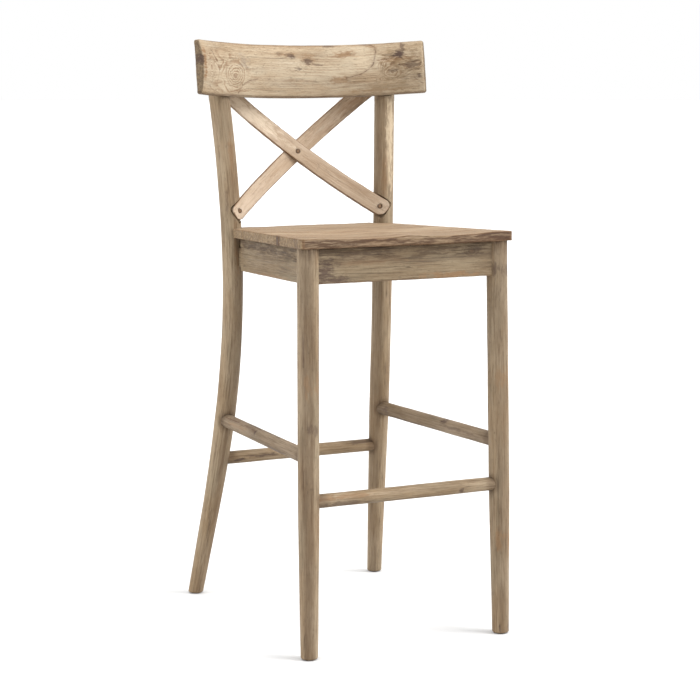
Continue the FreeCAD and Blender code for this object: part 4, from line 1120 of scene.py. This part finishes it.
# Marks, in the grain's coordinates and in millimetres:
# knots are (along, across, size, how much longer than wide);
# burls are (along, across, half length, half width);
# patches, in tints and stains, are (along, across, half length, half width, strength);
# paths of cracks are (half width, strength, points);
# bands, darker along edges or under other pieces and mostly painted shade, are (0 along, 1 across or 2
# depth, where it starts, where it is full, strength).
CREST_MARKS = {
    "knots": ((-163, 38, 19, 1.15), (-232, 50, 15, 0.6), (190, 44, 10, 1.6), (165, 31, 5, 1.0),
              (246, 34, 7, 0.9), (4, 64, 5, 2.0)),
    "burls": ((212, 55, 55, 30), (-200, 70, 50, 26), (-185, 14, 55, 16)),
    "stains": ((-22, 79.5, 9, 6.5, 0.75), (16, 70, 12, 6, 0.7), (-4, 55, 12, 3.5, 0.7),
               (208, 79, 14, 8, 1.0), (214, 90, 5, 12, 0.6), (228, 56, 24, 10, 0.6),
               (196, 48, 12, 4, 0.5), (246, 34, 4, 4, 0.7), (-257, 66, 4, 10, 0.85),
               (-48, 86, 8, 4, 0.35), (34, 64, 12, 4, 0.45), (60, 101, 12, 2.5, 0.6)),
    "tints": (
        (BROWN, ((96, 83, 36, 7, 0.85), (82, 33, 22, 9, 0.65), (-32, 86, 26, 8, 0.7), (155, 98, 14, 6, 0.7),
                 (190, 68, 40, 10, 0.7), (-251, 60, 6, 34, 0.95), (18, 75, 26, 13, 0.6),
                 (160, 10, 60, 5, 0.45), (30, 102, 170, 3, 0.5), (-150, 12, 30, 4, 0.5))),
        (OLIVE, ((215, 55, 60, 40, 0.55), (190, 14, 70, 14, 0.35))),
        (ASHEN, ((-138, 66, 14, 16, 0.6), (-40, 30, 60, 10, 0.3))),
        (PALE_WEAR_AND_HIGHLIGHT, ((257, 52, 5, 50, 0.45), (-60, 94, 80, 8, 0.4), (130, 70, 20, 22, 0.4)))),
    "paths": ((0.7, 0.75, ((128, 103), (150, 101), (158, 96), (160, 86), (153, 61), (142, 51), (127, 43),
                           (96, 36))),
              (0.6, 0.55, ((155, 69), (184, 71), (205, 75))),
              (1.1, 0.75, ((203, 78), (210, 92), (213, 104))),
              (0.8, 0.6, ((-152, 6), (-143, 20), (-128, 30), (-105, 34))),
              (0.6, 0.5, ((-226, 85), (-212, 62), (-208, 42), (-216, 22))),
              (0.6, 0.5, ((236, 30), (252, 18)))),
    # The lower band is painted shadow along the rail's lower edge; the upper one is a brown line along its
    # top edge.
    "bands": ((1, 5.5, 0.5, 0.75), (1, 99.5, 103.5, 0.45)),
}
# Painted shadow of the seat on the aprons' upper halves.
SEAT_SHADOW_BANDS = ((1, -6, 14, 0.68), (1, 22, 32, 0.95))
APRON_MARKS = {
    "front_apron": {
        "stains": ((26, -12, 30, 24, 0.85), (50, -26, 34, 9, 0.8), (338, 20, 14, 9, 0.4)),
        "tints": ((BROWN, ((290, -26.5, 70, 6, 0.8), (120, 4, 60, 6, 0.35))),),
        "knots": ((328, 16, 7, 1.8),)},
    "left_apron": {
        "stains": ((150, 20, 120, 6, 0.45),),
        "tints": ((BROWN, ((220, -29, 120, 3, 0.5),)),)},
}
# Painted shadow of the seat on the legs' tops.
LEG_SEAT_SHADOW = ((0, 712, 744, 0.7),)
# The first entry of each paints shade on one side of the leg, as light falls on it.
LEG_MARKS = {
    "left": {
        "shaded_side": (-0.9, 0.44, 0.55),
        "stains": ((420, -18, 12, 2, 0.55), (560, -12, 40, 2, 0.35)),
        "tints": ((BROWN, ((500, -16, 30, 3, 0.5),)),)},
    "right": {
        "shaded_side": (-1.0, 0.05, 0.35),
        "stains": ((690, -14, 14, 6, 0.65), (15, -13, 12, 1, 0.8)),
        "tints": ((BROWN, ((488, -17, 22, 4, 0.45), (181, -14, 25, 4, 0.7))),)},
}
# The first entry of each paints shade on one side of the post, as light falls on it.
POST_MARKS = {
    "left": {
        "shaded_side": (0.3, -0.95, 0.3),
        "stains": ((806, -12, 30, 3, 0.45),),
        "tints": ((BROWN, ((893, 4, 40, 7, 0.6), (700, 2, 50, 5, 0.45))),)},
    "right": {
        "shaded_side": (-0.85, -0.52, 0.35),
        # Painted highlight: a pale strip up the right post, where light falls on it; and a brown tint.
        "tints": ((PALE_WEAR_AND_HIGHLIGHT, ((920, 4, 110, 9, 0.85),)), (BROWN, ((840, -6, 50, 6, 0.5),)))},
}
STRETCHER_MARKS = {
    "front_footrest_stretcher": {
        "stains": ((298, -6, 8, 5, 0.8), (60, -6, 60, 5, 0.55)),
        "tints": ((BROWN, ((50, 6, 70, 5, 0.7),)),)},
    "rear_stretcher": {
        "stains": ((30, -3, 14, 4, 0.85), (80, 1, 40, 3.5, 0.8), (300, 9, 40, 4, 0.65))},
    "left_stretcher": {
        "stains": ((232, 9, 6, 7, 0.8), (130, -8, 60, 4, 0.45)),
        "tints": ((BROWN, ((330, 4, 60, 4, 0.4),)),),
        "paths": ((0.7, 0.8, ((400, 10), (300, 11), (232, 9))),)},
    "right_stretcher": {
        "stains": ((170, 11, 12, 4, 0.8), (385, 1, 14, 8, 0.6), (120, 2, 70, 3, 0.45),
                   (300, -10, 120, 3, 0.5))},
}
SEAT_MARKS = {
    "stains": ((-203, 131, 5, 12, 0.85), (-213, 30, 4, 14, 0.4)),
    "tints": ((BROWN, ((100, 70, 120, 12, 0.3), (-80, 260, 140, 16, 0.3))),),
    # This band makes the front board darker on its front face.
    "bands": ((1, 1.6, 0.4, 1.0),),
}
SLAT_TINTS = {
    # The front slat is paler over its upper part.
    "front": ((PALEST_TINT, ((120, 0, 90, 16, 0.8),)), (BROWN, ((-150, 4, 50, 8, 0.25),))),
    "rear": ((BROWN, ((160, -6, 50, 10, 0.6), (80, -8, 40, 6, 0.3))),),
}
# Painted shade on the slats' narrow side faces.
SLAT_SIDE_FACE_SHADE = ((1, 15, 16.8, 0.7), (1, -15, -16.8, 0.7))


# --- the stool ---

def show_frame():
    """Legs, posts, stretchers and aprons."""
    for number, side_name in enumerate(SIDES):
        seed = SEEDS["leg"] + number
        material = wood(f"leg_{side_name}", seed, FRAME_TONES, figured=0.30, bands=LEG_SEAT_SHADOW,
                        **LEG_MARKS[side_name])
        show(make_leg(side_name, seed), f"front_{side_name}_leg", material)
        seed = SEEDS["post"] + number
        material = wood(f"post_{side_name}", seed, POST_TONES, figured=0.35, **POST_MARKS[side_name])
        show(make_post(side_name, seed), f"rear_{side_name}_post", material)
    for seed, name in enumerate(stretcher_ends(), SEEDS["stretcher"]):
        colours = SIDE_TONES if name in ("left_stretcher", "right_stretcher") else POST_TONES
        material = wood(name, seed, colours, spacing=0.005, figured=0.4, **STRETCHER_MARKS[name])
        show(make_stretcher(name, seed), name, material)
    for seed, name in enumerate(apron_ends(), SEEDS["apron"]):
        material = wood(name, seed, APRON_TONES, spacing=0.005, bands=SEAT_SHADOW_BANDS,
                        **APRON_MARKS.get(name, {}))
        show(make_apron(name, seed), name, material)


def show_seat():
    """Four boards side by side, each with a grain and a tone of its own."""
    front = 0.0
    for number, (name, width) in enumerate(BOARDS.items()):
        seed = SEEDS["seat"] + number
        item = make_seat_board(name, front, front + width, seed)
        colours = {tone: toned(colour, BOARD_SHARES[number]) for tone, colour in SEAT_TONES.items()}
        material = wood(name, seed, colours, spacing=0.008, figured=0.40, **SEAT_MARKS)
        show(item, name, material)
        front += width


def show_back():
    """Crest rail, slats and plugs."""
    material = wood("crest", SEEDS["rail"], CREST_TONES, figured=0.70, contrast=0.45, fine=0.38, rust=0.9,
                    cut_shade=0.7, **CREST_MARKS)
    show(make_rail(SEEDS["rail"]), "crest_rail", material)
    for seed, which in enumerate(SLAT_SIDE, SEEDS["slat"]):
        material = wood(f"slat_{which}", seed, SLAT_TONES, spacing=0.010, figured=0.25, contrast=0.4,
                        fine=0.4, rust=1.0, bands=SLAT_SIDE_FACE_SHADE, tints=SLAT_TINTS[which])
        show(make_slat(which, seed), f"back_slat_{which}", material)
    show(make_plugs(SEEDS["plug"]), "screw_plugs", plug_wood())


def dress_cad_nodes():
    """Materials for the CAD pieces that stay as they are: corner blocks, screws and glides."""
    steel, plastic = zinc(), glide_plastic()
    for name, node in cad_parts.items():
        if node.hide_render:
            continue
        if name.endswith("corner_block"):
            way = 1 if ("left" in name) == ("front" in name) else -1
            material = block_wood(name, way * math.radians(45))
        elif name == "foot_glides":
            material = plastic
        else:
            material = steel
        node.data.materials.clear()
        node.data.materials.append(material)


# --- the stage ---

def sun(name, toward, strength, wide):
    """A soft distant light from a direction."""
    data = bpy.data.lights.new(name, "SUN")
    data.energy, data.angle = strength, math.radians(wide)
    linked(name, data).rotation_euler = Vector(toward).to_track_quat("Z", "Y").to_euler()


def make_stage():
    """A wide pale floor under a white sky, with three large soft lights."""
    mesh = bpy.data.meshes.new("floor")
    wide, below, count = 60.0, 0.0002, 64
    turns = [2 * math.pi * number / count for number in range(count)]
    mesh.from_pydata([(wide * math.cos(turn), wide * math.sin(turn), -below) for turn in turns], [],
                     [tuple(range(count))])
    n = Nodes("floor")
    mesh.materials.append(n.show(n.add("ShaderNodeBsdfDiffuse", {"Color": (0.62, 0.62, 0.62, 1.0)})))
    linked("floor", mesh)

    world = bpy.data.worlds.new("studio")
    bpy.context.scene.world = world
    world.use_nodes = True
    background = world.node_tree.nodes["Background"]
    background.inputs["Color"].default_value = (1.0, 1.0, 1.0, 1.0)
    background.inputs["Strength"].default_value = 1.0

    sun("right", (0.62, -0.50, 0.58), 3.6, 35)
    sun("left", (-0.92, 0.10, 0.38), 1.7, 35)
    sun("above", (0.0, 0.05, 1.0), 1.4, 60)


def make_camera():
    """The photo's view, as it was solved together with the stool's shape."""
    data = bpy.data.cameras.new("camera")
    data.lens, data.sensor_width = 105.24, 36.0
    camera = linked("camera", data)
    camera.location = (-1.7282, -3.5175, 1.0626)
    downward, turned_right = 7.89, 26.35
    camera.rotation_euler = (math.radians(90 - downward), 0.0, math.radians(-turned_right))
    bpy.context.scene.camera = camera


make_camera()
make_stage()
show_frame()
show_seat()
show_back()
dress_cad_nodes()
bpy.context.scene.view_settings.view_transform = "Standard"
